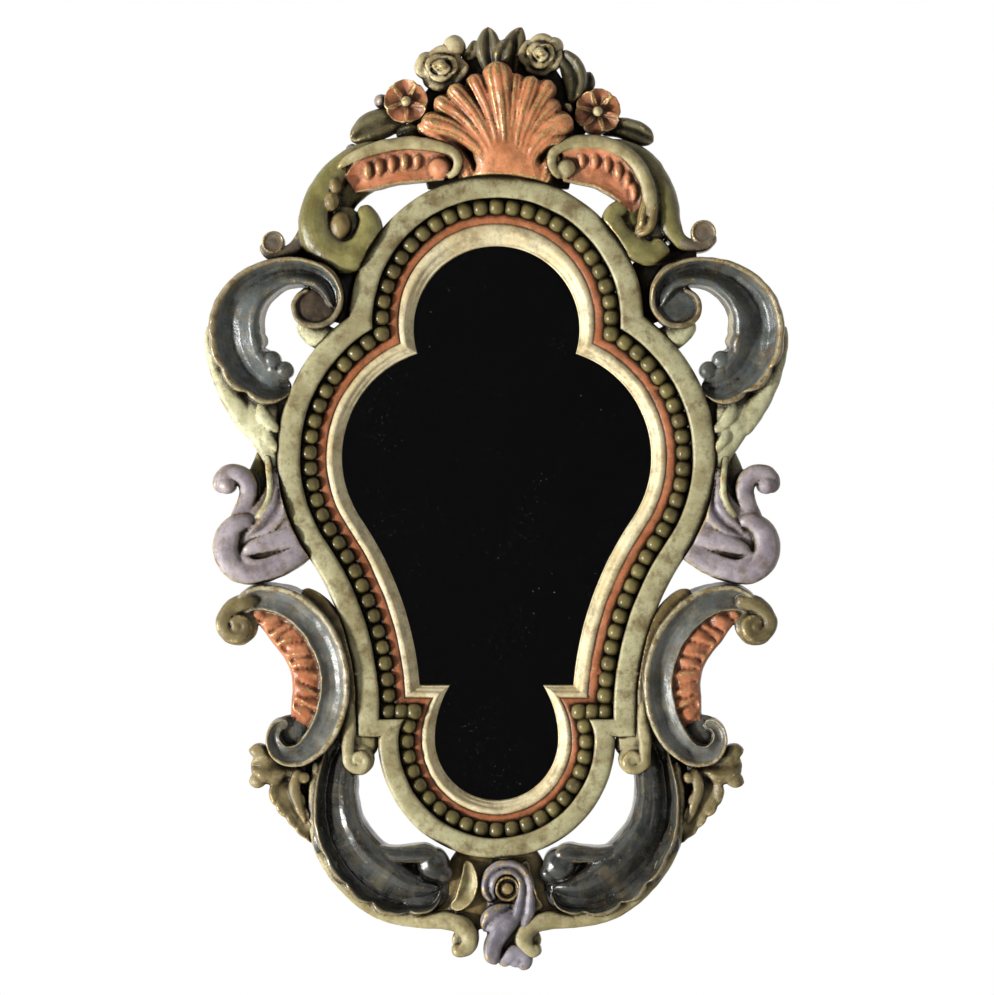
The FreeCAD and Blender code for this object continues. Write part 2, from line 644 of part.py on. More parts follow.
def fan(share, back, front):
    """Scalloped fan: one arc a flute, from valley to valley over its tip."""
    ends = [SHELL_BASE[0]] + SHELL_TIPS + [SHELL_BASE[1]]
    valleys = [shell_spot((a[0] + b[0]) / 2, (a[1] + b[1]) / 2, share * 0.93, back) for a, b in zip(ends, ends[1:])]
    edges = []
    for first, tip, last in zip(valleys, SHELL_TIPS, valleys[1:]):
        edges.append(Part.Arc(first, shell_spot(*tip, share, back), last).toShape())
    corners = [valleys[-1], shell_spot(*SHELL_BASE[1], 1, back), shell_spot(*SHELL_BASE[0], 1, back), valleys[0]]
    edges += [Part.makeLine(p, q) for p, q in zip(corners, corners[1:])]
    return Part.Face(Part.Wire(edges)).extrude(Vector(0, back - front, 0))


shell_middle = (size("ground_front") + size("shell_front")) / 2
shell = fan(1.0, size("ground_front"), shell_middle).fuse(fan(0.86, shell_middle, size("shell_front")))
for a, b in zip(SHELL_TIPS, SHELL_TIPS[1:]):
    start = shell_spot((a[0] + b[0]) / 2, (a[1] + b[1]) / 2, 0.12, size("shell_front"))
    end = shell_spot((a[0] + b[0]) / 2, (a[1] + b[1]) / 2, 1.2, size("shell_front"))
    shell = shell.cut(Part.makeCone(0.8, 5.5, (end - start).Length, start, end - start))
carved("crest_shell", [shell], ["crest_ground"], mirrored=False)

# Crest arms: cream-edged arm with its inner volute, olive volute beside the ring and the curl at the shoulder.
arm = band(CROWN, [(33, 7, 8), (45, 6, 10), (62, 6.5, 12), (80, 2, 12.5), (97, -11, 13), (108, -26, 12),
                   (118, -40, 8)], FRONT, HOLLOW, rim=0.25)
curl = band(CROWN, [(110, -36, 7), (124, -43, 5.5), (140, -42, 4)], LEAF, LEAF + 3)
carved("crest_arm", [arm, curl, volute(CROWN, 35, 4.6, 12.5, FRONT), volute(CROWN, 100.8, -37, 24, FRONT),
                     ball(CROWN, 142, -41.5, 7.5, LEAF - 4)], ["crest_ground", "crest_shell"])

# Shoulder scrolls: blue gutter that ends in a volute over the ring's notch, with a flat leaf tail below.
scroll = band(SHOULDER, [(31, -42, 9), (57, -41, 14), (71, -21, 18), (73, -2, 18.5), (66, 12, 16),
                         (53.6, 20, 14.5), (38, 24, 13), (21, 23, 9), (11, 13, 5)], FRONT, HOLLOW, rim=0.22)
tail = band(SIDE, [(26, 58, 15), (18, 28, 18), (10, 6, 12), (3, -15, 6), (0, -28, 2.5)], LEAF_EDGE, LEAF)
stalk = band(SHOULDER, [(21, 8, 7), (14, -2, 8), (2, -12, 8)], LEAF_EDGE, LEAF)
carved("shoulder_scroll", [scroll, tail, stalk, volute(SHOULDER, 21.9, 5.3, 13.9, FRONT)],
       ["crest_arm_right"])

# Side scrolls: lilac S with a ball at its top and a tongue of leaf rooted on the ring.
bend = band(SIDE, [(18, -14, 5), (12.7, -28, 5), (20.4, -39, 5), (31, -50, 6.5), (34.5, -63, 7.5), (24, -74.5, 8),
                   (5, -71.5, 8), (-11, -62, 8), (-22, -53.5, 8)], LEAF + 2, LEAF + 6)
tongue = band(SIDE, [(-14, -34, 8), (4, -46, 9), (22, -56, 4)], LEAF_EDGE, LEAF)
carved("side_scroll", [bend, tongue, ball(SIDE, 27.5, -17, 10, LEAF - 5), disc(SIDE, 27.5, -17, 6, LEAF)],
       ["shoulder_scroll_right"])

# C-scrolls: blue gutter between two volutes, with the red fluted band along its hollow side.
sweep = band(FLANK, [(84, 60, 4.5), (78, 69, 5.5), (67, 74.5, 6.5), (54, 75, 7), (39.6, 70, 7.7), (27, 59, 8.5),
                     (16.5, 45, 10), (12, 28, 11), (12.7, 11, 10.5), (17, -6, 8), (27, -21, 7), (39, -28, 6),
                     (50, -27, 5)], FRONT, HOLLOW, rim=0.25)
flutes = band(FLANK, [(64.6, 64, 4), (55.6, 59, 5.5), (41.5, 51, 8), (31, 37, 9), (28.6, 20.7, 8.5),
                      (32.6, 2.7, 6.5)], LEAF_EDGE, LEAF + 2)
carved("c_scroll", [sweep, flutes, volute(FLANK, 74.8, 53.3, 12.8, FRONT), volute(FLANK, 43.5, -12.5, 13, FRONT)],
       ["side_scroll_right"])

# Ring volutes: small scrolls that hang from the step of the ring.
drop = band(FLANK, [(4, 12, 4), (6, -12, 5), (2, -24, 5)], LEAF, LEAF + 3)
carved("ring_volute", [drop, volute(FLANK, -1.4, -30.6, 9.6, LEAF + 5)], ["c_scroll_right"])

# Base scrolls: wide dark gutter along the bottom lobe, from the C-scroll round to the middle.
gutter = band(BASE, [(97, 75, 8), (101.5, 42, 13), (101.5, 23, 13.5), (94, 4, 13.5), (80, -11.7, 13.5),
                     (62, -17, 14), (46, -11, 12), (36, 3, 9)], FRONT - 2, HOLLOW - 2, rim=0.2)
carved("base_scroll", [gutter, disc(BASE, 40, -22, 9, HOLLOW)], ["c_scroll_right", "ring_volute_right"])

# Leaf sprigs: one leaf under each C-scroll with side lobes.
sprig = [band(FLANK, [(52, -20, 7), (47, -41, 11), (38, -60, 11), (32, -75, 6), (28.6, -83, 1.5)], LEAF_EDGE, LEAF),
         band(FLANK, [(52, -28, 6), (64, -27, 5), (70, -31, 2)], LEAF_EDGE, LEAF),
         band(FLANK, [(48, -42, 7), (58, -46, 5), (63, -49, 2)], LEAF_EDGE, LEAF)]
carved("leaf_sprig", sprig, ["c_scroll_right", "base_scroll_right"])

# Base feet: a small leaf rooted on the ring and a foot that curls under the base scroll.
leaf = band(BASE, [(20, 6, 4), (14, -10, 5), (18, -24, 5), (30, -31, 4)], LEAF_EDGE, LEAF)
foot = band(BASE, [(56, -26, 5), (40, -33, 5.5), (27, -38, 5.5), (18, -46, 4)], LEAF_EDGE, LEAF)
carved("base_foot", [leaf, foot, volute(BASE, 23.4, -52, 8.5, LEAF + 3)], ["base_scroll_right"])

# Pendant: twisted leaf below the middle of the ring, with a round button on it.
pendant = [band(BASE, [(7.4, 6, 8), (8, -10, 11), (7, -24, 13), (3, -38, 12), (0, -52, 9), (-1, -62, 6),
                       (-2, -67.5, 2)], LEAF, LEAF + 4),
           band(BASE, [(8, -34, 8), (14, -48, 9.5), (16, -60, 8), (15, -69, 3)], LEAF, LEAF + 4),
           band(BASE, [(16, -46, 6), (22, -55, 5), (26, -61, 2)], LEAF_EDGE, LEAF)]
carved("pendant", pendant, ["base_foot_right", "base_foot_left"], mirrored=False)
boss = disc(BASE, 7.4, -18.8, 8.3, LEAF + 6, LEAF).fuse(ball(BASE, 7.4, -18.8, 5.5, LEAF + 4))
carved("pendant_boss", [boss], ["pendant"], mirrored=False)


# Crest flowers: petals round a button, seated on the ground and trimmed to the shell and the arms.
def petal(x, z, reach, width, angle, front):
    """Flattened ball that lies outwards from a flower's middle."""
    egg = Part.makeSphere(1.0)
    grow = FreeCAD.Matrix()
    grow.scale(reach, 4.5, width)
    egg = egg.transformGeometry(grow)
    egg.Placement = FreeCAD.Placement(Vector(CROWN[0] + x, -front, CROWN[1] + z),
                                      FreeCAD.Rotation(Vector(0, 1, 0), -angle))
    return egg


def flower(label, x, z, radius, petals, front, neighbours):
    solids = [disc(CROWN, x, z, radius * 0.7, front, size("ground_back")),
              ball(CROWN, x, z, radius * 0.34, front + 2)]
    for count in range(petals):
        turn = 360.0 * count / petals + 90
        a = math.radians(turn)
        solids.append(petal(x + radius * 0.6 * math.cos(a), z + radius * 0.6 * math.sin(a), radius * 0.42,
                            radius * 0.4, turn, front))
    carved(label, solids, neighbours, mirrored=False)


CREST = ["crest_ground", "crest_shell", "crest_arm_right", "crest_arm_left"]
flower("blossom_left", -57, 45, 14, 5, 26, CREST)
flower("blossom_right", 64, 39, 15, 6, 26, CREST)
flower("rose_left", -35, 69, 16, 5, 28, CREST + ["blossom_left"])
flower("rose_right", 27, 75, 14, 5, 28, CREST + ["blossom_right"])

# Crest leaves and buds: separate small carvings tucked behind the flowers, each rooted on the ground or an arm.
FLOWERS = CREST + ["blossom_left", "blossom_right", "rose_left", "rose_right"]


def carved_group(label, solids, neighbours):
    """Several carvings in one node, each trimmed to the ring, the neighbours and the ones before it."""
    trims = [ring_core.Shape] + [thing.Shape for thing in nodes if thing.Label in neighbours]
    kept = []
    for solid in solids:
        trimmed = solid.cut(trims + kept)
        kept.append(max(trimmed.Solids, key=lambda piece: piece.Volume))
    group = doc.addObject("Part::Feature", label + "_carving")
    group.Shape = Part.makeCompound(kept)
    node(group, label)


GROUND_BACK = size("ground_back")
LEAVES = [
    [(-2, 70, 5), (-6, 82, 5.5), (-4, 93, 1.5)],
    [(16, 72, 5), (20, 83, 5.5), (17.6, 93, 1.5)],
    [(-56, 30, 5), (-76, 37, 6.5), (-89, 31, 1.5)],
    [(60, 26, 5), (82, 29, 6.5), (96, 21, 1.5)],
    [(40, 62, 5), (49, 66, 5.5), (57, 62, 1.5)],
]
carved_group("crest_leaves", [band(CROWN, leaf, LEAF_EDGE, LEAF, GROUND_BACK) for leaf in LEAVES], FLOWERS)
BUDS = [(-27, 82, 7.0), (38, 82, 6.5), (-72, 49, 4.5)]
carved_group("crest_buds", [ball(CROWN, x, z, radius, LEAF_EDGE) for x, z, radius in BUDS],
             FLOWERS + ["crest_leaves"])
doc.recompute()

# Every object must be sound before anything is written.
for thing in doc.Objects:
    if "Invalid" in thing.State or "Error" in thing.State:
        raise RuntimeError(f"{thing.Name} failed: {thing.State}")
for thing in nodes:
    if thing.Shape.isNull() or not thing.Shape.isValid():
        raise RuntimeError(f"{thing.Label} has no valid shape")
os.makedirs("parts", exist_ok=True)
for thing in nodes:
    thing.Shape.exportStep(f"parts/{thing.Label}.step")
    print(thing.Label, len(thing.Shape.Solids), round(thing.Shape.Volume))
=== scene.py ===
import json
import math

import bpy
import numpy as np
from mathutils import Matrix, Vector, noise
from mathutils.bvhtree import BVHTree


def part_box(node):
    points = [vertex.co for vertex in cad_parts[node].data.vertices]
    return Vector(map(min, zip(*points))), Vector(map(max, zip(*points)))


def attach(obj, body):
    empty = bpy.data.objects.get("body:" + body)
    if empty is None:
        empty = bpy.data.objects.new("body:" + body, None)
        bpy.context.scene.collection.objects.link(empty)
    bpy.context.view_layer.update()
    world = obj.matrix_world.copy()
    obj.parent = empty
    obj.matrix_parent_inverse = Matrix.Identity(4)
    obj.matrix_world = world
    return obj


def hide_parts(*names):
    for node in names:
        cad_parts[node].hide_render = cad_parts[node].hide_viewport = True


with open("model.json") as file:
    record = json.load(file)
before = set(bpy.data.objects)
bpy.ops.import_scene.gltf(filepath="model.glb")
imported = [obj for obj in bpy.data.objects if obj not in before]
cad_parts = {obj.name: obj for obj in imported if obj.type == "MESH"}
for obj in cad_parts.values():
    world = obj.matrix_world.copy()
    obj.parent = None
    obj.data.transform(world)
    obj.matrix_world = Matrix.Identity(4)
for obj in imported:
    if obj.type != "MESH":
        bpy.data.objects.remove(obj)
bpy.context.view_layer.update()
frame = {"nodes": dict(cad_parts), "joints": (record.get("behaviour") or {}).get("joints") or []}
bpy.ops.object.select_all(action="DESELECT")
scene = bpy.context.scene
scene.view_settings.view_transform = "Standard"

# Paints. Tempera over gesso on wood: matt pigment with cloudy brush marks, rubbed through to pale gesso and
# gold size on the arrises, and a dark wax glaze with painted shade in the hollows.
MM = 0.001


def colour(code):
    """Hex sRGB to linear RGBA."""
    parts = [int(code[k:k + 2], 16) / 255 for k in (1, 3, 5)]
    return [c / 12.92 if c <= 0.04045 else ((c + 0.055) / 1.055) ** 2.4 for c in parts] + [1.0]


def add(tree, kind, settings=None, **sockets):
    """Adds a node: settings are its properties, sockets its inputs by identifier, as values or as links."""
    made = tree.nodes.new(kind)
    for key, value in (settings or {}).items():
        setattr(made, key, value)
    for key, value in sockets.items():
        socket = next(s for s in made.inputs if s.identifier == key)
        if isinstance(value, bpy.types.NodeSocket):
            tree.links.new(value, socket)
        else:
            socket.default_value = value
    return made


def out(made, key=None):
    """A node's output by identifier, or its first."""
    return made.outputs[0] if key is None else next(s for s in made.outputs if s.identifier == key)


def paint(name, face, shade, rim="#D8C592", wall="#B9B88C", rim_at=0.78, glaze_and_shade=1.0, wear=1.0, rough=0.36,
          stain=0.5, shine=0.4):
    """Painted carving: a face colour with a cloudy second shade, a rubbed rim, painted side walls and a bare
    back, under brush marks, stains, rubbed gold, and dark wax with painted shade in the hollows. rim_at is
    where the rim begins."""
    material = bpy.data.materials.new(name)
    material.use_nodes = True
    tree = material.node_tree
    tree.nodes.clear()
    place = out(add(tree, "ShaderNodeTexCoord"), "Object")

    def grain(millimetres, detail=4.0, roughness=0.55):
        return out(add(tree, "ShaderNodeTexNoise", Vector=place, Scale=1 / (millimetres * MM), Detail=detail,
                       Roughness=roughness), "Fac")

    def mix(factor, first, second, blend="MIX"):
        return out(add(tree, "ShaderNodeMix", {"data_type": "RGBA", "blend_type": blend}, Factor_Float=factor,
                       A_Color=first, B_Color=second), "Result_Color")

    def band(value, low, high):
        return out(add(tree, "ShaderNodeMapRange", {"interpolation_type": "SMOOTHSTEP"}, Value=value,
                       **{"From Min": low, "From Max": high}))

    def sums(operation, first, second):
        return out(add(tree, "ShaderNodeMath", {"operation": operation}, Value=first, Value_001=second))

    def read(attribute):
        return out(add(tree, "ShaderNodeAttribute", {"attribute_name": attribute}), "Fac")

    cloud, mottle, fine = grain(16, 3), grain(4.5, 5, 0.65), grain(1.3, 4, 0.6)
    across = sums("ABSOLUTE", read("across"), 0.0)
    wander = sums("ADD", across, sums("MULTIPLY", sums("SUBTRACT", mottle, 0.5), 0.7))
    tone = mix(band(cloud, 0.38, 0.66), colour(face), colour(shade))
    tone = mix(sums("MULTIPLY", band(mottle, 0.5, 0.72), 0.35), tone, colour(shade))
    strokes = out(add(tree, "ShaderNodeCombineXYZ", X=sums("MULTIPLY", read("along"), 0.06),
                      Y=sums("MULTIPLY", read("across"), 5.0)))
    strokes = out(add(tree, "ShaderNodeTexNoise", Vector=strokes, Scale=1.0, Detail=5.0, Roughness=0.65),
                  "Fac")
    tone = mix(sums("MULTIPLY", band(strokes, 0.5, 0.66), 0.45), tone, colour(shade))
    tone = mix(sums("MULTIPLY", band(strokes, 0.5, 0.36), 0.25), tone, colour(rim))
    aged_rim = mix(band(mottle, 0.46, 0.62), colour(rim), colour("#7A6238"))
    tone = mix(sums("MULTIPLY", band(wander, rim_at - 0.14, rim_at + 0.14), 0.88), tone, aged_rim)
    tone = mix(band(wander, 1.1, 1.26), tone, colour(wall))
    tone = mix(sums("MULTIPLY", band(grain(11, 6, 0.7), 0.46, 0.68), stain), tone, colour("#6A5331"))
    tone = mix(sums("MULTIPLY", band(grain(3, 7, 0.8), 0.5, 0.66), stain * 0.7), tone, colour("#7A6742"))
    patches = sums("ADD", 0.25, band(grain(7, 4, 0.6), 0.4, 0.62))
    rubbed = sums("MULTIPLY", sums("MULTIPLY", read("edge"), wear), patches)
    rubbed = band(sums("ADD", rubbed, sums("MULTIPLY", sums("SUBTRACT", mottle, 0.53), 1.8)), 0.12, 0.75)
    gold = mix(band(fine, 0.42, 0.62), colour("#DCC48C"), colour("#A5823F"))
    tone = mix(sums("MULTIPLY", rubbed, 0.85), tone, gold)
    # Wax glaze and painted shade: the hollows, found by how much carving lies close round each point, are
    # darkened to brown and then to near black.
    wax_and_shade = sums("ADD", read("cavity_wax_and_shade"), sums("MULTIPLY", sums("SUBTRACT", fine, 0.5), 0.4))
    tone = mix(sums("MULTIPLY", band(wax_and_shade, 0.06, 0.5), 0.7 * glaze_and_shade), tone, colour("#5A4A30"), "MULTIPLY")
    tone = mix(sums("MULTIPLY", band(wax_and_shade, 0.22, 0.66), 0.95 * glaze_and_shade), tone, colour("#130C06"))
    bare = mix(band(mottle, 0.4, 0.65), colour("#8A6B45"), colour("#6A4F31"))
    tone = mix(band(across, 1.68, 1.76), tone, bare)
    speck = sums("MULTIPLY", band(grain(2.0, 6, 0.75), 0.62, 0.7), 0.6 * glaze_and_shade)
    tone = mix(speck, tone, colour("#37281A"))
    relief = sums("ADD", sums("MULTIPLY", fine, 0.7), sums("ADD", strokes, sums("MULTIPLY", mottle, 0.7)))
    bump = add(tree, "ShaderNodeBump", Strength=0.34, Distance=0.0008, Height=relief)
    gloss = sums("ADD", rough - 0.08, sums("MULTIPLY", mottle, 0.16))
    shader = add(tree, "ShaderNodeBsdfPrincipled", Roughness=gloss, Normal=out(bump),
                 Metallic=sums("MULTIPLY", rubbed, 0.35), **{"Base Color": tone, "Specular IOR Level": shine})
    tree.links.new(out(shader), add(tree, "ShaderNodeOutputMaterial").inputs["Surface"])
    return material


# Moulding ring. Four pieces of carved poplar, butt jointed and dowelled, gessoed and painted: a flat sage
# band, a dark channel for the beads and a terracotta fillet. The back is bare, with a rabbet for the glass.
TOP_RADIUS, BODY_RADIUS, FLANK_RADIUS, LOBE_RADIUS = 94.0, 110.5, 180.0, 75.5
BODY_X, BODY_DROP, WAIST = 29.4, 86.0, 89.4
STEP_DROP, STEP_RISE, LOBE_SHARE, MOUTH_PINCH = 14.8, 0.8, 0.88, 0.28
crown_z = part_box("frame_top")[1][2] / MM
base_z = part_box("frame_bottom")[0][2] / MM
shoulder_joint_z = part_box("frame_top")[0][2] / MM
waist_joint_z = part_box("frame_bottom")[1][2] / MM
top_z = crown_z - TOP_RADIUS
body_z = top_z - BODY_DROP
flank_x = WAIST + FLANK_RADIUS
flank_z = body_z - math.sqrt((BODY_RADIUS + FLANK_RADIUS) ** 2 - (flank_x - BODY_X) ** 2)
step_z = flank_z - STEP_DROP
lobe_z = base_z + LOBE_RADIUS


def arc(centre, start, end, count):
    """Points on the shorter arc from start to end."""
    first = math.atan2(start[1] - centre[1], start[0] - centre[0])
    swing = math.atan2(end[1] - centre[1], end[0] - centre[0]) - first
    swing = (swing + math.pi) % (2 * math.pi) - math.pi
    radius = math.dist(start, centre)
    turn = first + swing * np.linspace(0, 1, count + 1)
    return np.stack([centre[0] + radius * np.cos(turn), centre[1] + radius * np.sin(turn)], 1)


def notch(inset, drop=0.0):
    """Corner on the right where the top lobe meets the wide part."""
    top_r, body_r = TOP_RADIUS - inset, BODY_RADIUS - inset
    dx, dz = BODY_X, body_z - top_z + drop
    gap = math.hypot(dx, dz)
    along = (top_r ** 2 - body_r ** 2 + gap ** 2) / (2 * gap)
    across = math.sqrt(top_r ** 2 - along ** 2)
    return (along * dx - across * dz) / gap, top_z - drop + (along * dz + across * dx) / gap


def ring_half(inset, drop=0.0):
    """Right half of the ring's outline at an inset, top to bottom, as runs between its corners."""
    corner = notch(inset, drop)
    share = (BODY_RADIUS - inset) / (BODY_RADIUS + FLANK_RADIUS)
    bend = (BODY_X + (flank_x - BODY_X) * share, body_z + (flank_z - body_z) * share)
    ledge_z = step_z + STEP_RISE * inset
    end_z = max(flank_z, ledge_z)
    end = (flank_x - math.sqrt((FLANK_RADIUS + inset) ** 2 - (end_z - flank_z) ** 2), end_z)
    side, rise = LOBE_RADIUS - LOBE_SHARE * inset, ledge_z - lobe_z
    mouth, bulge = side - MOUTH_PINCH * rise, rise * (1 + MOUTH_PINCH ** 2) / (2 * MOUTH_PINCH)
    return [
        [arc((0, top_z - drop), (0, top_z - drop + TOP_RADIUS - inset), corner, 60)],
        [arc((BODY_X, body_z), corner, bend, 64), arc((flank_x, flank_z), bend, end, 44),
         np.linspace(end, (end[0], ledge_z), 5)],
        [np.linspace((end[0], ledge_z), (mouth, ledge_z), 7)],
        [arc((side - bulge, lobe_z), (mouth, ledge_z), (side, lobe_z), 12),
         arc((0, lobe_z), (side, lobe_z), (0, lobe_z - side), 42)],
    ]


def ring_loop(inset, drop=0.0):
    """Whole closed outline as one row of points, the same count at every inset."""
    right = np.concatenate([part[:-1] for run in ring_half(inset, drop) for part in run])
    bottom = np.array([[0.0, lobe_z - LOBE_RADIUS + LOBE_SHARE * inset]])
    left = right[:0:-1] * (-1, 1)
    return np.concatenate([right, bottom, left])


# One seed for all the unevenness, so that every run cuts the object alike.
noise.seed_set(12)


def uneven(points, amount, size, seed):
    """Hand-cut unevenness: shifts points by smooth noise of a given size, all in millimetres."""
    shift = [noise.noise_vector(Vector(p) / size + Vector((seed, 0, 0))) for p in points]
    return points + amount * np.array(shift)


def moulding(name, profile, seed):
    """Closed moulding swept round the ring: profile rows are inset, front, drop and the paint after them."""
    loops = [ring_loop(inset, drop) for inset, front, drop, paint in profile]
    count = len(loops[0])
    points = np.concatenate([np.insert(loop, 1, -row[1], axis=1) for loop, row in zip(loops, profile)])
    carved = points[:, 1] < -12
    points[carved] = uneven(points[carved], 0.32, 14, seed)
    rows = len(profile)
    faces = [(i * count + j, i * count + (j + 1) % count, (i + 1) % rows * count + (j + 1) % count,
              (i + 1) % rows * count + j) for i in range(rows) for j in range(count)]
    mesh = bpy.data.meshes.new(name)
    mesh.from_pydata(points * MM, [], faces)
    mesh.polygons.foreach_set("material_index", np.repeat([row[3] for row in profile], count))
    ring = bpy.data.objects.new(name, mesh)
    scene.collection.objects.link(ring)
    return ring


def edit_all(piece):
    """Makes one piece active, in edit mode, with all of it selected."""
    bpy.ops.object.select_all(action="DESELECT")
    bpy.context.view_layer.objects.active = piece
    piece.select_set(True)
    bpy.ops.object.mode_set(mode="EDIT")
    bpy.ops.mesh.select_all(action="SELECT")


def close_up(piece, angle=40):
    """Merges doubled points, turns faces outwards and smooths all but the sharp arrises."""
    edit_all(piece)
    bpy.ops.mesh.remove_doubles(threshold=0.00002)
    bpy.ops.mesh.normals_make_consistent(inside=False)
    bpy.ops.object.mode_set(mode="OBJECT")
    bpy.ops.object.shade_smooth_by_angle(angle=math.radians(angle))


BARE, SAGE, CHANNEL, FILLET = range(4)
RING_PROFILE = [
    (0.6, 0.0, 0, BARE), (14, 0.0, 0, BARE), (27, 0.0, 0, BARE), (27, 11, 0, BARE), (31, 11, 0, FILLET),
    (31.4, 15.6, 0, FILLET), (31, 16.5, 0, FILLET), (30, 16.95, 0, FILLET), (28.4, 17.15, 0, FILLET),
    (26.6, 17.05, 0, FILLET), (25.2, 16.7, 0, FILLET), (24, 16.2, 0, CHANNEL), (23.4, 15.4, 0, CHANNEL),
    (22.4, 15, 0, CHANNEL), (20.9, 14.9, 0, CHANNEL), (18.6, 14.9, 0, CHANNEL), (16.4, 15.1, 0, CHANNEL),
    (15.3, 15.9, 0, CHANNEL), (15.05, 18, 0, CHANNEL), (15, 21.3, 0, SAGE), (14.8, 22.6, 0, SAGE),
    (14.2, 23.4, 0, SAGE), (13.2, 23.85, 0, SAGE), (11.4, 24.05, 0, SAGE), (9, 24.2, 0, SAGE),
    (6.8, 24.25, 0, SAGE), (4.6, 24.15, 0, SAGE), (2.8, 23.9, 0, SAGE), (1.5, 23.4, 0, SAGE),
    (0.65, 22.6, 0, SAGE), (0.2, 21.5, 0, SAGE), (0, 19.5, 0, SAGE), (0, 14, 0, SAGE), (0, 7, 0, SAGE),
    (0, 1, 0, BARE),
]
ring_blank = moulding("ring_blank", RING_PROFILE, 3.0)
close_up(ring_blank)
# Bare poplar: dry brown wood on the sawn backs.
bare_wood = paint("bare_poplar", "#8A6B45", "#6E5233", rim="#8A6B45", wall="#8A6B45", wear=0.2, stain=0.2)
# Sage tempera: grey-green with brown wax stains, a quiet ground beside the dark beads.
sage = paint("sage_tempera", "#C4BE94", "#A69C73", rim="#C0BB90", wall="#B3B086", glaze_and_shade=0.9, wear=0.8,
             stain=0.75)
# Channel paint: umber made almost black, a painted shade standing in for the shadow in the channel, so that
# each bead stands out.
channel_shade = paint("umber_channel_painted_shade", "#2A2114", "#191209", rim="#2A2114", wall="#2A2114", wear=0.1)
# Terracotta tempera: an orange line between the beads and the pale liner.
terracotta = paint("terracotta_tempera", "#CB7F57", "#B56A42", rim="#C77A52", wall="#B06A45", wear=0.6)
for coat in (bare_wood, sage, channel_shade, terracotta):
    ring_blank.data.materials.append(coat)

# Recesses in the back. A round pocket is bored under each turn button and a slot is cut for the hanger's
# strap, so that the brass sits in the wood.
POCKET_RADIUS, POCKET_DEPTH = 12.8, 3.0
button_pivots = [Vector(joint["pos_m"]) for joint in frame["joints"] if joint["name"].startswith("button")]
strap_low, strap_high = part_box("hanger_strap")
STRAP_PLAY = 0.0005


def cut_out(target, cutter):
    """Boolean difference, applied, and the cutter thrown away."""
    cutter.data.materials.append(bare_wood)
    bpy.ops.object.select_all(action="DESELECT")
    bpy.context.view_layer.objects.active = target
    knife = target.modifiers.new("cut", "BOOLEAN")
    knife.operation = "DIFFERENCE"
    knife.solver = "EXACT"
    knife.object = cutter
    bpy.ops.object.modifier_apply(modifier="cut")
    bpy.data.objects.remove(cutter)


for pivot in button_pivots:
    bpy.ops.object.select_all(action="DESELECT")
    bpy.ops.mesh.primitive_cylinder_add(vertices=64, radius=POCKET_RADIUS * MM, depth=2 * POCKET_DEPTH * MM,
                                        location=(pivot.x, 0, pivot.z), rotation=(math.pi / 2, 0, 0))
    cut_out(ring_blank, bpy.context.object)
bpy.ops.object.select_all(action="DESELECT")
bpy.ops.mesh.primitive_cube_add(size=1)
mortise = bpy.context.object
mortise_low = Vector((strap_low[0] - STRAP_PLAY, strap_low[1], strap_low[2] - STRAP_PLAY))
mortise_high = Vector((strap_high[0] + STRAP_PLAY, 0.005, strap_high[2] + 0.01))
mortise.data.transform(Matrix.Translation((mortise_low + mortise_high) / 2)
                       @ Matrix.Diagonal((*(mortise_high - mortise_low), 1)))
cut_out(ring_blank, mortise)

# Joints of the ring. It is sawn into its four pieces, with a hair of glue line left open at each joint, so
# that the seams show in the paint.
GLUE_LINE = 0.03
ring_pieces = []
for name, low, high, side in (("frame_top", shoulder_joint_z, None, 0),
                              ("frame_right", waist_joint_z, shoulder_joint_z, 1),
                              ("frame_left", waist_joint_z, shoulder_joint_z, -1),
                              ("frame_bottom", None, waist_joint_z, 0)):
    piece = ring_blank.copy()
    piece.data = ring_blank.data.copy()
    piece.name = piece.data.name = name + "_carved"
    scene.collection.objects.link(piece)
    edit_all(piece)
    if low is not None:
        bpy.ops.mesh.bisect(plane_co=(0, 0, (low + GLUE_LINE) * MM), plane_no=(0, 0, 1), use_fill=True,
                            clear_inner=True)
        bpy.ops.mesh.select_all(action="SELECT")
    if high is not None:
        bpy.ops.mesh.bisect(plane_co=(0, 0, (high - GLUE_LINE) * MM), plane_no=(0, 0, 1), use_fill=True,
                            clear_outer=True)
        bpy.ops.mesh.select_all(action="SELECT")
    if side:
        bpy.ops.mesh.bisect(plane_co=(0, 0, 0), plane_no=(side, 0, 0), clear_inner=True)
    bpy.ops.object.mode_set(mode="OBJECT")
    bpy.ops.object.shade_smooth_by_angle(angle=math.radians(40))
    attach(piece, "frame")
    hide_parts(name)
    ring_pieces.append(piece)
bpy.data.objects.remove(ring_blank)
painted = list(ring_pieces)

# Beads. About a hundred turned wooden beads glued in the channel, dark olive varnish rubbed bright on top.
# One bead is turned as a flattened ball and set again and again along the channel.
BEAD_INSET, BEAD_PITCH, BEAD_RADIUS, BEAD_RISE, CHANNEL_FLOOR = 20.4, 10.2, 5.3, 6.8, 14.9


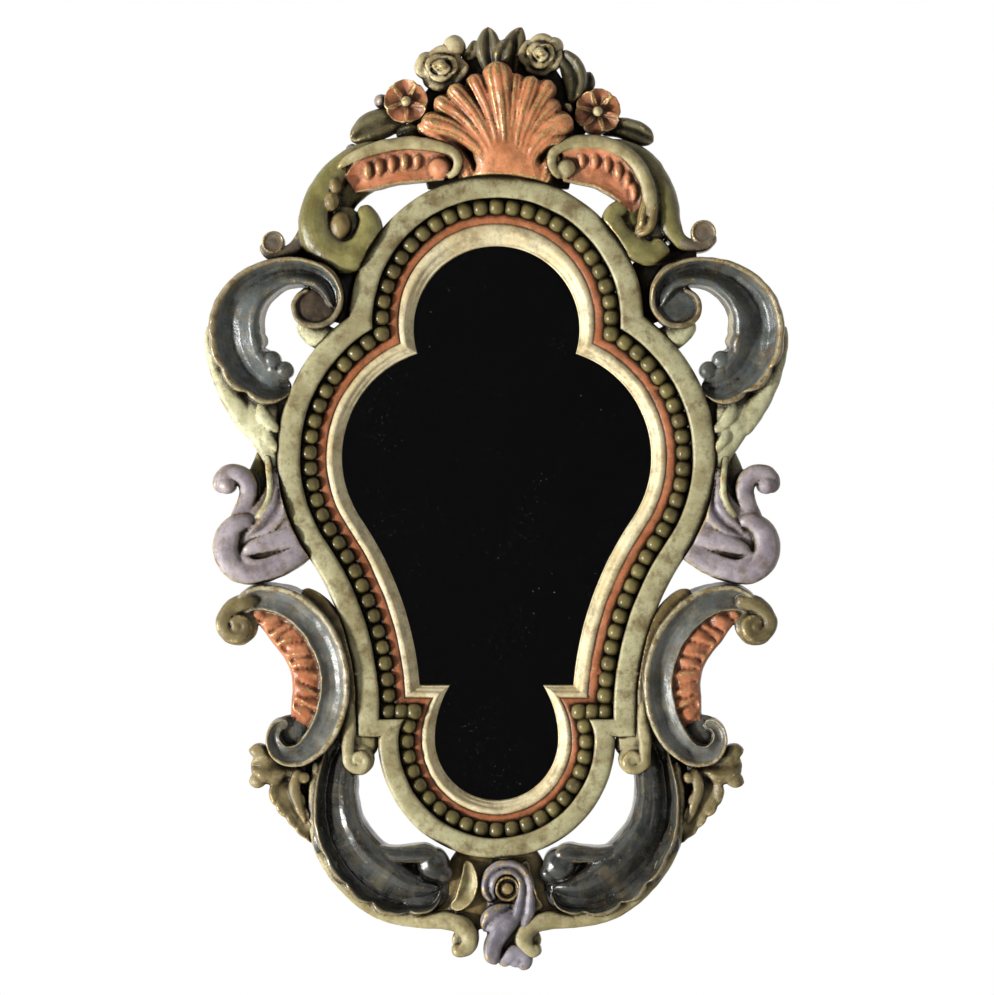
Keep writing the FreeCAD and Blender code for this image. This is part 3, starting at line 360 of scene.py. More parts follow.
def bead_spots():
    """Centres and headings of the beads, evenly shared along each run between corners."""
    spots = []
    for run in ring_half(BEAD_INSET):
        line = np.concatenate(run)
        reach = np.concatenate([[0], np.cumsum(np.hypot(*np.diff(line, axis=0).T))])
        count = max(1, round(reach[-1] / BEAD_PITCH))
        at = np.arange(count + 1) * reach[-1] / count
        x, z = np.interp(at, reach, line[:, 0]), np.interp(at, reach, line[:, 1])
        ahead = np.interp(at + 0.5, reach, line[:, 0]), np.interp(at + 0.5, reach, line[:, 1])
        behind = np.interp(at - 0.5, reach, line[:, 0]), np.interp(at - 0.5, reach, line[:, 1])
        turn = np.arctan2(ahead[1] - behind[1], ahead[0] - behind[0])
        spots += list(zip(x, z, turn))
    kept = []
    for x, z, turn in spots:
        if all(math.hypot(x - k[0], z - k[1]) > 0.6 * BEAD_PITCH for k in kept):
            kept.append((x, z, turn))
    return kept + [(-x, z, math.pi - turn) for x, z, turn in kept if x > 0.3 * BEAD_PITCH]


bpy.ops.object.select_all(action="DESELECT")
bpy.ops.mesh.primitive_uv_sphere_add(segments=20, ring_count=12, radius=1)
bead = bpy.context.object
bead_shape = np.array([v.co for v in bead.data.vertices])
bead_shape = np.sign(bead_shape) * np.abs(bead_shape) ** (0.82, 0.9, 0.76)
bead_faces = [tuple(face.vertices) for face in bead.data.polygons]
bpy.data.objects.remove(bead)
bead_points, bead_polygons = [], []
for number, (x, z, turn) in enumerate(bead_spots()):
    own = 1 + 0.05 * noise.noise(Vector((x, z, 7.0)) / 9)
    along = bead_shape[:, 0] * BEAD_PITCH * 0.52 * own
    over = bead_shape[:, 2] * BEAD_RADIUS * own
    rise = CHANNEL_FLOOR + 0.2 + bead_shape[:, 1] * -BEAD_RISE * own
    own_points = np.stack([x + along * math.cos(turn) - over * math.sin(turn),
                           -np.maximum(rise, CHANNEL_FLOOR - 0.6),
                           z + along * math.sin(turn) + over * math.cos(turn)], 1)
    start = number * len(bead_shape)
    bead_points.append(own_points)
    bead_polygons += [tuple(start + v for v in face) for face in bead_faces]
bead_mesh = bpy.data.meshes.new("bead_row_turned")
bead_mesh.from_pydata(uneven(np.concatenate(bead_points), 0.16, 5, 11.0) * MM, [], bead_polygons)
bead_row = bpy.data.objects.new("bead_row_turned", bead_mesh)
scene.collection.objects.link(bead_row)
close_up(bead_row, 60)
# Olive varnish: dark green-brown with a small bright light on each bead.
bead_row.data.materials.append(paint("olive_varnish", "#837848", "#605836", rim="#837848", wall="#837848",
                                     glaze_and_shade=0.5, wear=0.3, rough=0.24))
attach(bead_row, "frame")
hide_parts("bead_row")
painted.append(bead_row)

# Sight liner. A narrow carved slip inside the ring, gessoed and water gilt, now rubbed to cream:
# an outer rim, a cove, a fine groove and a bright lip that laps over the glass.
SIGHT_DROP = 4.0
LINER_PROFILE = [(27.5, 8.5), (27.5, 11), (31.2, 11), (31.25, 15.6), (31.6, 16.1), (32.4, 16.6), (33.6, 17),
                 (34.5, 17.1), (35.3, 16.9), (36, 16.3), (36.5, 15.6), (37, 15.1), (37.6, 14.9), (38.3, 14.6),
                 (39, 14), (39.5, 13.3), (39.8, 13), (40.1, 12.9), (40.5, 12.9), (40.8, 12.5), (40.9, 11.6),
                 (40.9, 8.5)]
liner = moulding("sight_liner_carved", [(inset, front, SIGHT_DROP * max(0, inset - 31.2) / 9.7, 0)
                                        for inset, front in LINER_PROFILE], 21.0)
close_up(liner)
# Rubbed gilding: cream gesso with gold left in it, the lightest line of the frame.
liner.data.materials.append(paint("rubbed_cream_gilding", "#F0E2B8", "#E0CC9C", rim="#F0E2B8", wall="#F0E2B8",
                                  glaze_and_shade=0.4, wear=0.5, rough=0.38))
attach(liner, "frame")
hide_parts("sight_liner")
painted.append(liner)

# Carved ornament. Each piece is cut from poplar, glued to the ring's edge, gessoed and painted. A strap is a
# band along stations of x and z from a point of the ring, half width and front, in millimetres. A section
# across it has rows of place, height and zone of paint.
CROWN, SIDE, FLANK, BASE = (0, crown_z), (BODY_X + BODY_RADIUS, body_z), (WAIST, flank_z), (0, base_z)
SHOULDER = notch(0)
BACK = 6.5


def both(section):
    """A section's right half, from the middle out, mirrored into a whole one."""
    return [(-s, h, zone) for s, h, zone in section[:0:-1]] + section


ROUND = both([(0, 0.12, 0), (0.3, 0.08, 0), (0.6, -0.02, 0.3), (0.82, -0.18, 0.6), (0.95, -0.42, 0.8),
              (1, -0.7, 1.2)])
LEAF = both([(0, -0.3, 0), (0.1, -0.26, 0), (0.28, -0.06, 0), (0.5, 0.06, 0.2), (0.74, -0.02, 0.6),
             (0.92, -0.26, 0.85), (1, -0.6, 1.2)])
CUP = both([(0, -0.5, 0), (0.3, -0.42, 0), (0.6, -0.22, 0.2), (0.85, 0, 0.8), (0.95, -0.06, 0.95),
            (1, -0.3, 1.2)])


def flow(rows, step):
    """Smooth line through rows of numbers, the first two being the place, resampled at even steps."""
    rows = np.array(rows, float)
    reach = np.concatenate([[0], np.cumsum(np.hypot(*np.diff(rows[:, :2], axis=0).T))])
    slope = np.gradient(rows, reach, axis=0)
    at = np.linspace(0, reach[-1], max(8, int(reach[-1] / step)) + 1)
    k = np.clip(np.searchsorted(reach, at, side="right") - 1, 0, len(rows) - 2)
    span = (reach[k + 1] - reach[k])[:, None]
    t = (at - reach[k])[:, None] / span
    value = (1 + 2 * t) * (1 - t) ** 2 * rows[k] + t * (1 - t) ** 2 * span * slope[k]
    return at, value + t * t * (3 - 2 * t) * rows[k + 1] + t * t * (t - 1) * span * slope[k + 1]


def strap(anchor, rows, section, coat=0, cap=8.0, tips=(0, 0), ribs=None, lobes=None, back=BACK,
          flare=(0.9, 0.9), step=1.2):
    """A carved band along a line. tips are the lengths of the rounded ends, ribs a pitch and a depth. lobes
    are a pitch, a depth, a slant, the lengths at which the edge is smooth and fully lobed, and their share
    on the right edge. flare is the width of the back against the front, on the right and on the left."""
    at, line = flow(rows, step)
    spot, half, front = line[:, :2] + anchor, line[:, 2], line[:, 3]
    heading = np.gradient(spot, at, axis=0)
    heading /= np.linalg.norm(heading, axis=1)[:, None]
    aside = np.stack([-heading[:, 1], heading[:, 0]], 1)
    for tip, gone in zip(tips, (at, at[-1] - at)):
        if tip:
            swell = np.sqrt(np.clip(1 - (1 - np.clip(gone / tip, 0, 1)) ** 2, 0.0025, 1))
            front = front - (1 - swell) * np.minimum(half, cap) * 0.6
            half = half * swell
    s, h, zone = np.array(section).T
    width, rise = half[:, None] * s, front[:, None] + np.minimum(half, cap)[:, None] * h
    if ribs:
        pitch, depth = ribs
        ripple = 0.22 * s + 0.12 * np.sin(4 * s + 0.6 * at[:, None])
        sway = 1.3 * np.sin(2.3 * at / pitch)[:, None] + half[:, None] * ripple
        hump = np.abs(np.sin(math.pi * (at[:, None] + sway) / pitch)) ** 0.8 - 1
        rise = rise + depth * hump * (zone < 0.5)
    if lobes:
        pitch, depth, slant, smooth_at, lobed_at, right_share = lobes
        wave = np.abs(np.sin(math.pi * (at[:, None] - slant * np.abs(s) * half[:, None]) / pitch)) ** 0.7
        lobed = np.clip((at - smooth_at) / (lobed_at - smooth_at), 0, 1)[:, None]
        wave = 1 - (1 - wave) * lobed * np.where(s < 0, right_share, 1)
        width = width * (1 - depth * (1 - wave) * s ** 2)
        rise = rise - np.minimum(half, cap)[:, None] * 0.4 * (1 - wave) ** 2 * s ** 2
    left, right = width[:, -1:], width[:, :1]
    left_mid, right_mid = (back + rise[:, -1:]) / 2, (back + rise[:, :1]) / 2
    width = np.hstack([width, left, left * flare[1], right * flare[0], right])
    rise = np.hstack([rise, left_mid, np.full_like(left, back), np.full_like(right, back), right_mid])
    zone = np.concatenate([zone, [1.6, 1.8, 1.8, 1.6]])
    place = spot[:, None] + aside[:, None] * width[:, :, None]
    points = np.stack([place[:, :, 0], -rise, place[:, :, 1]], 2).reshape(-1, 3)
    rows_count, columns = width.shape
    faces = [(i * columns + j, i * columns + (j + 1) % columns, (i + 1) * columns + (j + 1) % columns,
              (i + 1) * columns + j)
             for i in range(rows_count - 1) for j in range(columns)]
    faces += [tuple(range(columns)), tuple(range((rows_count - 1) * columns, rows_count * columns))]
    return points, faces, np.stack([np.tile(zone, rows_count), np.repeat(at, columns)], 1), coat


def turned(anchor, place, profile, coat=0, back=BACK, stretch=(1, 1), around=28):
    """A round knob or eye: profile rows are radius, front and zone, from the rim to the middle."""
    rows = [(0.001, back, 1.8), (profile[0][0] * 0.96, back, 1.8)] + list(profile)
    turn = np.arange(around) * 2 * math.pi / around
    points = [np.stack([anchor[0] + place[0] + radius * stretch[0] * np.cos(turn), np.full(around, -front),
                        anchor[1] + place[1] + radius * stretch[1] * np.sin(turn)], 1)
              for radius, front, zone in rows]
    faces = [(i * around + j, i * around + (j + 1) % around, (i + 1) * around + (j + 1) % around,
              (i + 1) * around + j)
             for i in range(len(rows) - 1) for j in range(around)]
    faces += [tuple(range((len(rows) - 1) * around, len(rows) * around))]
    guide = [(zone, radius * angle) for radius, front, zone in rows for angle in turn]
    return np.concatenate(points), faces, np.array(guide), coat


def knob(radius, front, rise, zone=0.0):
    """Profile of a domed knob."""
    arch = [k * math.pi / 16 for k in range(9)]
    return [(max(radius * math.cos(a), 0.02), front + rise * math.sin(a), zone if k else 1.2)
            for k, a in enumerate(arch)]


def curl(centre, radius, begin, sweep, half, front, count=14):
    """Stations of a volute that winds inwards, from a begin angle through a sweep, in degrees."""
    rows = []
    for share in np.linspace(0, 1, count + 1):
        turn, reach = math.radians(begin + sweep * share), radius * (1 - 0.8 * share)
        rows.append((centre[0] + reach * math.cos(turn), centre[1] + reach * math.sin(turn),
                     half * (1 - 0.45 * share), front))
    return rows


ring_edge = ring_loop(0.35)


def trimmed(points):
    """Points inside the ring's edge are brought back onto it, so that a carving butts against the ring."""
    x, z = points[:, 0], points[:, 2]
    inside = np.zeros(len(points), bool)
    for (ax, az), (bx, bz) in zip(ring_edge, np.roll(ring_edge, -1, axis=0)):
        if az != bz:
            inside ^= ((az > z) != (bz > z)) & (x < (bx - ax) * (z - az) / (bz - az) + ax)
    for k in np.flatnonzero(inside):
        gap = ring_edge - points[k, [0, 2]]
        points[k, [0, 2]] = ring_edge[np.argmin((gap ** 2).sum(1))]
    return points


VOXEL = 0.8


def relax(values, ends, times):
    """Values on a mesh's points, each moved halfway to the mean of its neighbours, a number of times."""
    first, second = ends.T
    count = len(values)
    links = np.maximum(np.bincount(ends.ravel(), minlength=count), 1)
    for _ in range(times):
        mean = [np.bincount(first, column[second], count) + np.bincount(second, column[first], count)
                for column in values.T]
        values = values * 0.5 + np.stack(mean, 1) / links[:, None] * 0.5
    return values


def mesh_points(mesh):
    """Points and edge ends of a mesh as arrays."""
    points, ends = np.empty(len(mesh.vertices) * 3), np.empty(len(mesh.edges) * 2, np.int32)
    mesh.vertices.foreach_get("co", points)
    mesh.edges.foreach_get("vertices", ends)
    return points.reshape(-1, 3), ends.reshape(-1, 2)


blocks = [(mesh_points(piece.data)[0], [tuple(face.vertices) for face in piece.data.polygons])
          for piece in painted]


def carve(node, parts, coats, side=1, seed=0.0, soften=2):
    """Fuses straps and knobs into one block on the right (1) or left (-1), rounds it off and paints it."""
    points, faces, zones, face_coats, start = [], [], [], [], 0
    for part_points, part_faces, part_zone, coat in parts:
        points.append(part_points)
        faces += [tuple(start + v for v in face) for face in part_faces]
        zones.append(part_zone)
        face_coats += [coat] * len(part_faces)
        start += len(part_points)
    points = np.concatenate(points) * (side, 1, 1)
    points = trimmed(uneven(points, 0.3, 8, seed + 40 * side)) * MM
    zones, face_coats = np.concatenate(zones), np.array(face_coats)
    mesh = bpy.data.meshes.new(node + "_carved")
    mesh.from_pydata(points, [], faces)
    piece = bpy.data.objects.new(node + "_carved", mesh)
    scene.collection.objects.link(piece)
    edit_all(piece)
    bpy.ops.mesh.normals_make_consistent(inside=False)
    bpy.ops.object.mode_set(mode="OBJECT")
    pattern = BVHTree.FromPolygons([tuple(p) for p in points], faces)
    blocks.append((points, faces))
    mesh.remesh_voxel_size = VOXEL * MM
    bpy.ops.object.voxel_remesh()
    carved, ends = mesh_points(mesh)
    carved = relax(carved, ends, soften)
    carved = uneven(carved / MM, 0.3, 6, seed) * MM
    mesh.vertices.foreach_set("co", carved.ravel())
    nearest = np.array([pattern.find_nearest(p)[2] for p in carved])
    corners = np.array([face[:4] for face in faces])[nearest]
    weight = 1 / (np.linalg.norm(points[corners] - carved[:, None], axis=2) + 1e-6)
    guide = (zones[corners] * weight[:, :, None]).sum(1) / weight.sum(1)[:, None]
    for name, values in zip(("across", "along"), guide.T):
        mesh.attributes.new(name, "FLOAT", "POINT").data.foreach_set("value", values.astype(np.float32))
    own_coat = face_coats[nearest]
    mesh.polygons.foreach_set("material_index", [own_coat[face.vertices[0]] for face in mesh.polygons])
    for coat in coats:
        mesh.materials.append(coat)
    mesh.shade_smooth()
    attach(piece, "frame")
    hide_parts(node)
    painted.append(piece)
    return piece


# Crest arms. Carved from the shell to the shoulders: a cream rim hooked round a ball, a terracotta cove
# with gadroons under it, and an olive outer wall that winds into a snail and throws a small curl outwards.
# Arm terracotta: soft orange in the cove, darker between the gadroons.
arm_paint = paint("arm_terracotta", "#F0A27A", "#DC8A5E", rim="#CDB888", wall="#6A5A34", glaze_and_shade=0.7)
# Olive tempera: half-gloss green on the outer wall and the snail.
olive = paint("olive_tempera", "#989058", "#767040", rim="#A09862", wall="#625C36", rough=0.28, shine=0.6)
# Rim paint: cream and gold over the rolled edge.
rim_paint = paint("arm_rim", "#C9BB8C", "#9E9264", rim="#CDBE8F", wall="#6B6340")
# Worn gilding: dull gold on knobs and webs, dark in the hollows.
gilding = paint("worn_gilding", "#9A8656", "#6F5F3A", rim="#B49C66", wall="#5F5230")
# Curl paint: grey-brown with a pale gold edge.
curl_paint = paint("shoulder_curl", "#7C7062", "#5D5348", rim="#CDBE92", wall="#A89C72")
# Lilac tempera: greyed violet, rubbed to gold along the rolls.
lilac = paint("lilac_tempera", "#B8ADB2", "#91868F", rim="#C2B292", wall="#7D7676", rim_at=0.6, wear=0.9)
SCOOP = [(-1, -0.4, 1.2), (-0.96, -0.04, 0.95), (-0.88, 0, 0.9), (-0.8, -0.1, 0.2), (-0.5, -0.26, 0),
         (0, -0.28, 0), (0.4, -0.12, 0), (0.75, 0.2, 0), (1, 0.5, 0)]
BUTTON = [(1, 0, 1.3), (0.97, 0.14, 0.95), (0.87, 0.2, 0.9), (0.76, 0.08, 0.1), (0.4, 0.02, 0),
          (0.002, 0.05, 0)]


def scaled(profile, radius, front):
    """A turned profile given in radii, at a real radius and front."""
    return [(radius * r, front + radius * f, zone) for r, f, zone in profile]


def gadroons(spots):
    """Small upright drops in a row."""
    return [turned(CROWN, spot, knob(3.5, 22, 5.4), 0, stretch=(0.95, 2), around=16) for spot in spots]


right_arm = [
    strap(CROWN, [(40, 4, 9, 17), (56, 7, 12, 18), (74, 3, 13, 18), (88, -9, 12, 18), (96, -24, 12, 17),
                  (96, -38, 12, 15)], ROUND, 1),
    strap(CROWN, [(42, 4, 9, 25), (54.9, 4.5, 11.5, 25), (64.9, 3.5, 12.5, 25), (77, -2, 13, 25),
                  (85.5, -10.8, 11, 25), (90, -22, 6, 24)],
          SCOOP, 0),
    strap(CROWN, [(41, -3, 2, 28), (35.6, 3.5, 3, 30), (36.3, 13.5, 3.6, 31), (44.9, 18.6, 4, 31.5),
                  (57.7, 20.2, 4.4, 31.5), (72, 18, 4.4, 31.5), (84.9, 10.4, 4.4, 31.5),
                  (93.4, -1.6, 4.6, 31.5), (97.5, -15.7, 4.6, 31), (96, -28, 3.6, 30)], ROUND, 2,
          cap=4.5, tips=(2, 3)),
    turned(CROWN, (43.4, 3.8), knob(7, 23, 7), 2),
    strap(CROWN, [(70, 20, 3, 22), (84, 16, 5, 24), (95, 8, 6.4, 25), (103, -4.3, 7.4, 26),
                  (107.8, -18.2, 8, 26), (110.5, -32, 7.2, 25), (116, -41.6, 5.2, 24), (124.5, -45.5, 4, 24),
                  (133.5, -45, 3.4, 24), (139.8, -39.5, 2.4, 24)], ROUND, 1, tips=(3, 3),
          flare=(1.06, 1)),
    strap(CROWN, [(116, -42.5, 3, 25), (124.5, -46, 3, 25), (133, -45.4, 2.8, 25), (139.4, -40, 2, 25)],
          ROUND, 4, tips=(5, 3)),
    strap(CROWN, [(83, -19, 4.6, 25), (74, -26.4, 6.4, 27), (76.3, -36.5, 8, 27), (87.7, -46, 8.6, 27),
                  (99, -50, 8, 27), (107, -43, 7, 26)],
          ROUND, 1, tips=(5, 3)),
    turned(CROWN, (92, -34), knob(16, 19, 5), 1),
    strap(CROWN, [(98, -12, 4, 28), (96.5, -24, 6, 31), (93, -35, 5.4, 30), (88, -38, 3, 27)], LEAF, 3,
          tips=(3, 4)),
    turned(CROWN, (131.6, -37), scaled(BUTTON, 8, 23), 4),
] + gadroons(((54, 9.8), (62.5, 9.4), (70.4, 7), (77.4, 2.6), (83.2, -3.6), (87.4, -11)))
left_arm = [
    strap(CROWN, [(30, 4, 9, 17), (55, 7, 12, 18), (74, 5, 13, 18), (92, -4, 13, 18), (104, -20, 13, 17),
                  (102, -36, 13, 15)], ROUND, 1),
    strap(CROWN, [(33, 5, 9.5, 25), (55, 5.5, 11.5, 25), (66, 4.6, 12, 25), (76.3, 2, 12, 25),
                  (85.1, -2, 10, 24), (93, -7, 6, 22)], SCOOP, 0),
    strap(CROWN, [(31, -3, 1.8, 28), (25.8, 2, 2.6, 30), (24.4, 7.6, 3, 31), (26.8, 12.6, 3.4, 31.5),
                  (33.7, 16, 3.6, 31.5), (44, 18.4, 4, 31.5), (55, 19.2, 4.3, 31.5), (66, 18.2, 4.2, 31.5),
                  (77.1, 15.8, 4, 31.5), (86.6, 12, 3.6, 31), (95.4, 7.6, 2.8, 29), (100.6, 3.6, 1.6, 28)],
          ROUND, 2, cap=4.5, tips=(2, 4)),
    turned(CROWN, (35.9, 3.8), knob(7.6, 23, 7), 0),
    strap(CROWN, [(72, 19, 3, 21), (86, 15.4, 4.6, 23), (98, 6, 7, 25), (108.6, -7.4, 8.6, 28),
                  (115, -22.5, 9.6, 29), (115.2, -35.6, 10.6, 29), (109.5, -47, 11, 29), (99, -52.5, 11, 29),
                  (87, -49, 10.4, 29), (81, -39, 9, 29), (81, -28.4, 6.6, 28), (86.5, -20.5, 4, 25)],
          ROUND, 1, cap=10, tips=(4, 4), flare=(1.04, 1)),
    turned(CROWN, (99, -36), knob(16, 19, 5), 1),
    turned(CROWN, (99.4, -33), knob(7.6, 23, 7), 3, stretch=(0.95, 1.25)),
    turned(CROWN, (105, -17.6), knob(5.2, 26, 5.5), 3, stretch=(0.95, 1.3)),
    turned(CROWN, (102.4, -7.8), knob(4.2, 26, 5), 3, stretch=(0.95, 1.25)),
    strap(CROWN, [(118.5, -20, 2.4, 22), (122, -34.6, 3.6, 23), (126.5, -44.7, 4.6, 23),
                  (132.9, -50, 4.4, 23), (140.4, -52.3, 3.8, 23), (147, -49.4, 2.8, 23), (149, -44.1, 2, 23)],
          ROUND, 4, cap=4, tips=(3, 2)),
    turned(CROWN, (142, -43.4), scaled(BUTTON, 7.2, 22.5), 4),
    turned(CROWN, (92, 15.4), knob(4.4, 15, 5), 5),
] + gadroons(((82, 2.6), (74.8, 5), (66.8, 7.2), (58.7, 8.6), (50.6, 9.2)))
arm_coats = [arm_paint, olive, rim_paint, gilding, curl_paint, lilac]
carve("crest_arm_right", right_arm, arm_coats, 1, 1.0)
carve("crest_arm_left", left_arm, arm_coats, -1, 1.0)

# Shoulder scrolls. Wide carved slate-blue gutters with rubbed gilt rims that roll round a flat eye. The
# lower end splits into acanthus lobes over a pale green leaf that tapers down the ring's side.
# Slate tempera: half-gloss blue-grey with a rubbed gilt rim.
slate = paint("slate_tempera", "#616867", "#434A49", rim="#AFA07A", wall="#A39A70", rim_at=0.55, rough=0.28,
              wear=0.5, shine=0.6)
# Pale green tempera: the light leaf green of walls and tails.
pale_leaf = paint("pale_green_tempera", "#DEDBB0", "#C4C094", rim="#E0DCB4", wall="#BCB988", glaze_and_shade=0.9)
# Umber paint, a painted shade: flat dark umber on the webs in the gaps behind the scroll and on the left
# scroll's eye.
umber_shade_paint = paint("umber_eye_painted_shade", "#57493D", "#3D332A", rim="#57493D", wall="#B9B58A")
# Rim gilding: a dull gold line round the eye.
shoulder_rim = paint("shoulder_rim_gilding", "#9C8F70", "#6E6048", rim="#9C8F70", wall="#A39A70", wear=0.5)
LIP_ROLL = [(-1, -0.45, 1.2), (-0.96, -0.1, 0.95), (-0.88, 0, 0.9), (-0.76, -0.06, 0.8), (-0.62, -0.3, 0.3),
            (-0.4, -0.62, 0), (-0.1, -0.78, 0), (0.15, -0.66, 0), (0.38, -0.36, 0), (0.58, -0.12, 0.05),
            (0.74, -0.08, 0.1), (0.88, -0.22, 0.2), (0.97, -0.5, 0.4), (1, -0.9, 1.6)]
shoulder_rows = [(37, -43.4, 11, 25.5), (43, -44.6, 12, 26.5), (51.2, -43.2, 13.6, 28), (61, -37, 15.6, 28.5),
                 (68, -27.3, 17, 30), (71.6, -16.2, 17.4, 31.5), (72.3, -5, 16.6, 32.5),
                 (70, 4.8, 15.4, 33.5), (64.4, 14, 13.8, 34), (55, 22, 11.8, 34), (40.6, 27.6, 9.4, 34),
                 (26.6, 27.4, 8.4, 34), (15.6, 22, 7.4, 33.5), (9.8, 13.4, 6, 32), (8.6, 5, 4.6, 30)]
shoulder_parts = [
    strap(SHOULDER, shoulder_rows, LIP_ROLL, 0, cap=11, tips=(9, 6), lobes=(15, 0.26, 0.5, 62, 26, 1),
          flare=(1.05, 1.12)),
    strap(SHOULDER,
          [(19.9, 33, 1.4, 31.5), (12.4, 29, 1.5, 31.5), (6.5, 20.3, 1.6, 31), (5, 11.4, 1.7, 30.5),
           (7.8, 1.3, 1.7, 30), (14.9, -5, 1.7, 29.5), (24.7, -6, 1.7, 29.5), (33, -1.2, 1.7, 29.5),
           (34.9, 5.7, 1.6, 29.5), (32, 12.7, 1.5, 29.5), (25, 17, 1.4, 29)], ROUND, 3, tips=(3, 3),
          flare=(1.1, 1)),
    turned(SHOULDER, (20.2, 6.2),
           [(14.2, 24, 1.5), (14.2, 26.6, 0.4), (12, 27.2, 0), (8, 27.6, 0), (0.02, 27.8, 0)], 2),
    strap(SHOULDER,
          [(90, -6, 1.6, 18), (89.4, -16, 2.6, 20), (86, -29, 4, 21), (79, -45, 6, 21), (70, -60, 7, 21.4),
           (60, -76, 6, 21.6)], ROUND, 1, cap=5, tips=(6, 8)),
    # Webs behind the scroll in coat 4, the umber: painted shade in the gaps between scroll, arm and ring.
    strap(SHOULDER, [(-4, 36, 10, 14), (3, 24, 10, 15), (4, 10, 10, 15), (8, -4, 8, 15)], ROUND, 4),
    strap(SHOULDER, [(8, 37, 6, 14), (22, 41, 6, 14), (34, 40, 4, 14)], ROUND, 4),
    strap(SIDE, [(24, 70, 14, 9), (18, 54, 16, 11), (14.8, 40, 15.6, 17), (12.4, 28, 13.6, 21.5),
                 (7, 10, 8.6, 22), (2.4, -6, 4.6, 21.5), (1, -24, 2.5, 20)], ROUND, 1,
          cap=5, tips=(0, 5)),
    strap(SIDE, [(0, 52, 7, 15), (-2, 36, 7, 16), (-3, 20, 6, 16), (-4, 6, 4, 16)], ROUND, 1),
    strap(SIDE, [(10, 36, 2, 22), (9, 28, 4.4, 24.5), (3, 20, 3.6, 24.5), (-3, 16, 2, 23)], ROUND, 1,
          tips=(3, 4)),
    strap(SIDE, [(7, 20, 2, 22), (5.6, 13, 3.6, 24.5), (0.6, 6, 2.8, 24), (-3, 3, 2, 23)], ROUND, 1,
          tips=(3, 4)),
    strap(SHOULDER, [(31, -2, 6, 22), (23, -10, 8, 22), (12, -16, 9, 21), (2, -19, 9, 20)], ROUND, 1,
          tips=(5, 0)),
    turned(SHOULDER, (49, -28), knob(6, 24, 4.4), 0),
    turned(SHOULDER, (40.6, -34.4), knob(5.6, 23.4, 4.4), 0),
]
# Coat 4, the umber, is painted shade on the webs. On the left scroll the eye (coat 2) takes it too, a painted
# shade, while the right eye keeps the slate.
carve("shoulder_scroll_right", shoulder_parts,
      [slate, pale_leaf, slate, shoulder_rim, umber_shade_paint], 1, 2.0)
carve("shoulder_scroll_left", shoulder_parts,
      [slate, pale_leaf, umber_shade_paint, shoulder_rim, umber_shade_paint], -1, 2.0)

# Side scrolls. Lilac S-scrolls carved below the leaf tails and glued to the ring's side: a neck with a
# rolled ball, a belly that turns back to the ring, and folded leaf tongues inside.
neck_rows = [(33, -22.5, 2.6, 25), (36, -17.6, 4.4, 27), (32.6, -11.4, 5.4, 28.5), (25.6, -10.6, 6, 28.5),
             (19.4, -15, 6.2, 28), (17.6, -21.5, 6, 27), (19.2, -29, 6, 26.5), (22, -37, 6.6, 26),
             (26, -46, 6, 25)]
belly_rows = [(13.6, -42.6, 3.6, 28), (20.6, -41, 5.4, 30), (28, -45.4, 7.2, 31), (31.6, -53.6, 8.4, 31),
              (31.2, -62, 8.6, 31), (27, -69, 8.4, 30.5), (19, -72.8, 8.2, 30), (9, -71.6, 8.4, 29.5),
              (-2, -67.6, 8.4, 28.5), (-12, -62, 8, 27), (-24, -54, 6, 25)]
side_parts = [
    strap(SIDE, [(0, -6, 4, 20), (0, -20, 7, 24), (2, -34, 13, 26.4), (6, -47, 19, 27), (2, -61, 20, 26.6),
                 (-4, -68, 14, 25)], ROUND, 0, cap=3),
    strap(SIDE, [(8, 2, 5, 18), (11, -14, 8, 19), (13, -30, 8, 20), (15, -40, 6, 20)], ROUND, 2, cap=3),
    strap(SIDE, neck_rows, ROUND, 0, cap=8, tips=(3, 4)),
    strap(SIDE, belly_rows, ROUND, 0, cap=8, tips=(5, 0)),
    turned(SIDE, (31.4, -17.8), knob(5.8, 25, 6), 0),
    strap(SIDE, [(6.2, 2, 1.8, 22.5), (4.8, -8, 2, 26), (4, -17, 2, 28), (5.2, -27, 2, 28.6),
                 (8.6, -34, 2, 28.8), (13, -38.6, 1.6, 28)], ROUND, 1,
          cap=1.8, tips=(4, 4)),
    strap(SIDE, [(0, -6, 2.4, 23), (-2.6, -20, 6.4, 26.5), (-1.6, -32, 8.6, 28), (5.6, -42, 7.4, 29),
                 (13, -47.4, 4.6, 28.5), (19, -51, 2, 27)],
          LEAF, 0, cap=6, tips=(2, 5)),
    strap(SIDE, [(-20, -47, 7, 25), (-8, -51, 7.6, 28), (2, -53.6, 7, 29.5), (11.6, -56.4, 5.6, 30.5),
                 (18, -59, 4, 30), (22.4, -60.6, 2, 28)],
          ROUND, 0, cap=6, tips=(0, 4)),
    strap(SIDE, [(22, -59, 1.8, 28), (20, -64, 2.4, 29.5), (14, -67, 2.6, 30), (6, -66, 2.4, 29.5),
                 (-4, -61.6, 1.8, 28)], ROUND, 0, tips=(2, 4)),
]
for side, name in ((1, "right"), (-1, "left")):
    carve("side_scroll_" + name, side_parts, [lilac, pale_leaf, olive], side, 3.0)

# C-scrolls. Blue-grey gutters with gilt rims hugging the ring's waist, a gadrooned terracotta band inside
# and a rolled volute at each end.
# Waist blue: a lighter blue-grey between broad cream rims.
waist_blue = paint("waist_blue_tempera", "#80827D", "#5E615C", rim="#C4B892", wall="#6D6440", rim_at=0.52,
                   rough=0.28, glaze_and_shade=0.7, wear=0.4, shine=0.5)
# Fluted terracotta: orange gadroons with pale crests.
flute_paint = paint("fluted_terracotta", "#D98C64", "#B46C46", rim="#D69C70", wall="#8A5230", wear=0.9,
                    glaze_and_shade=0.6, rough=0.28)
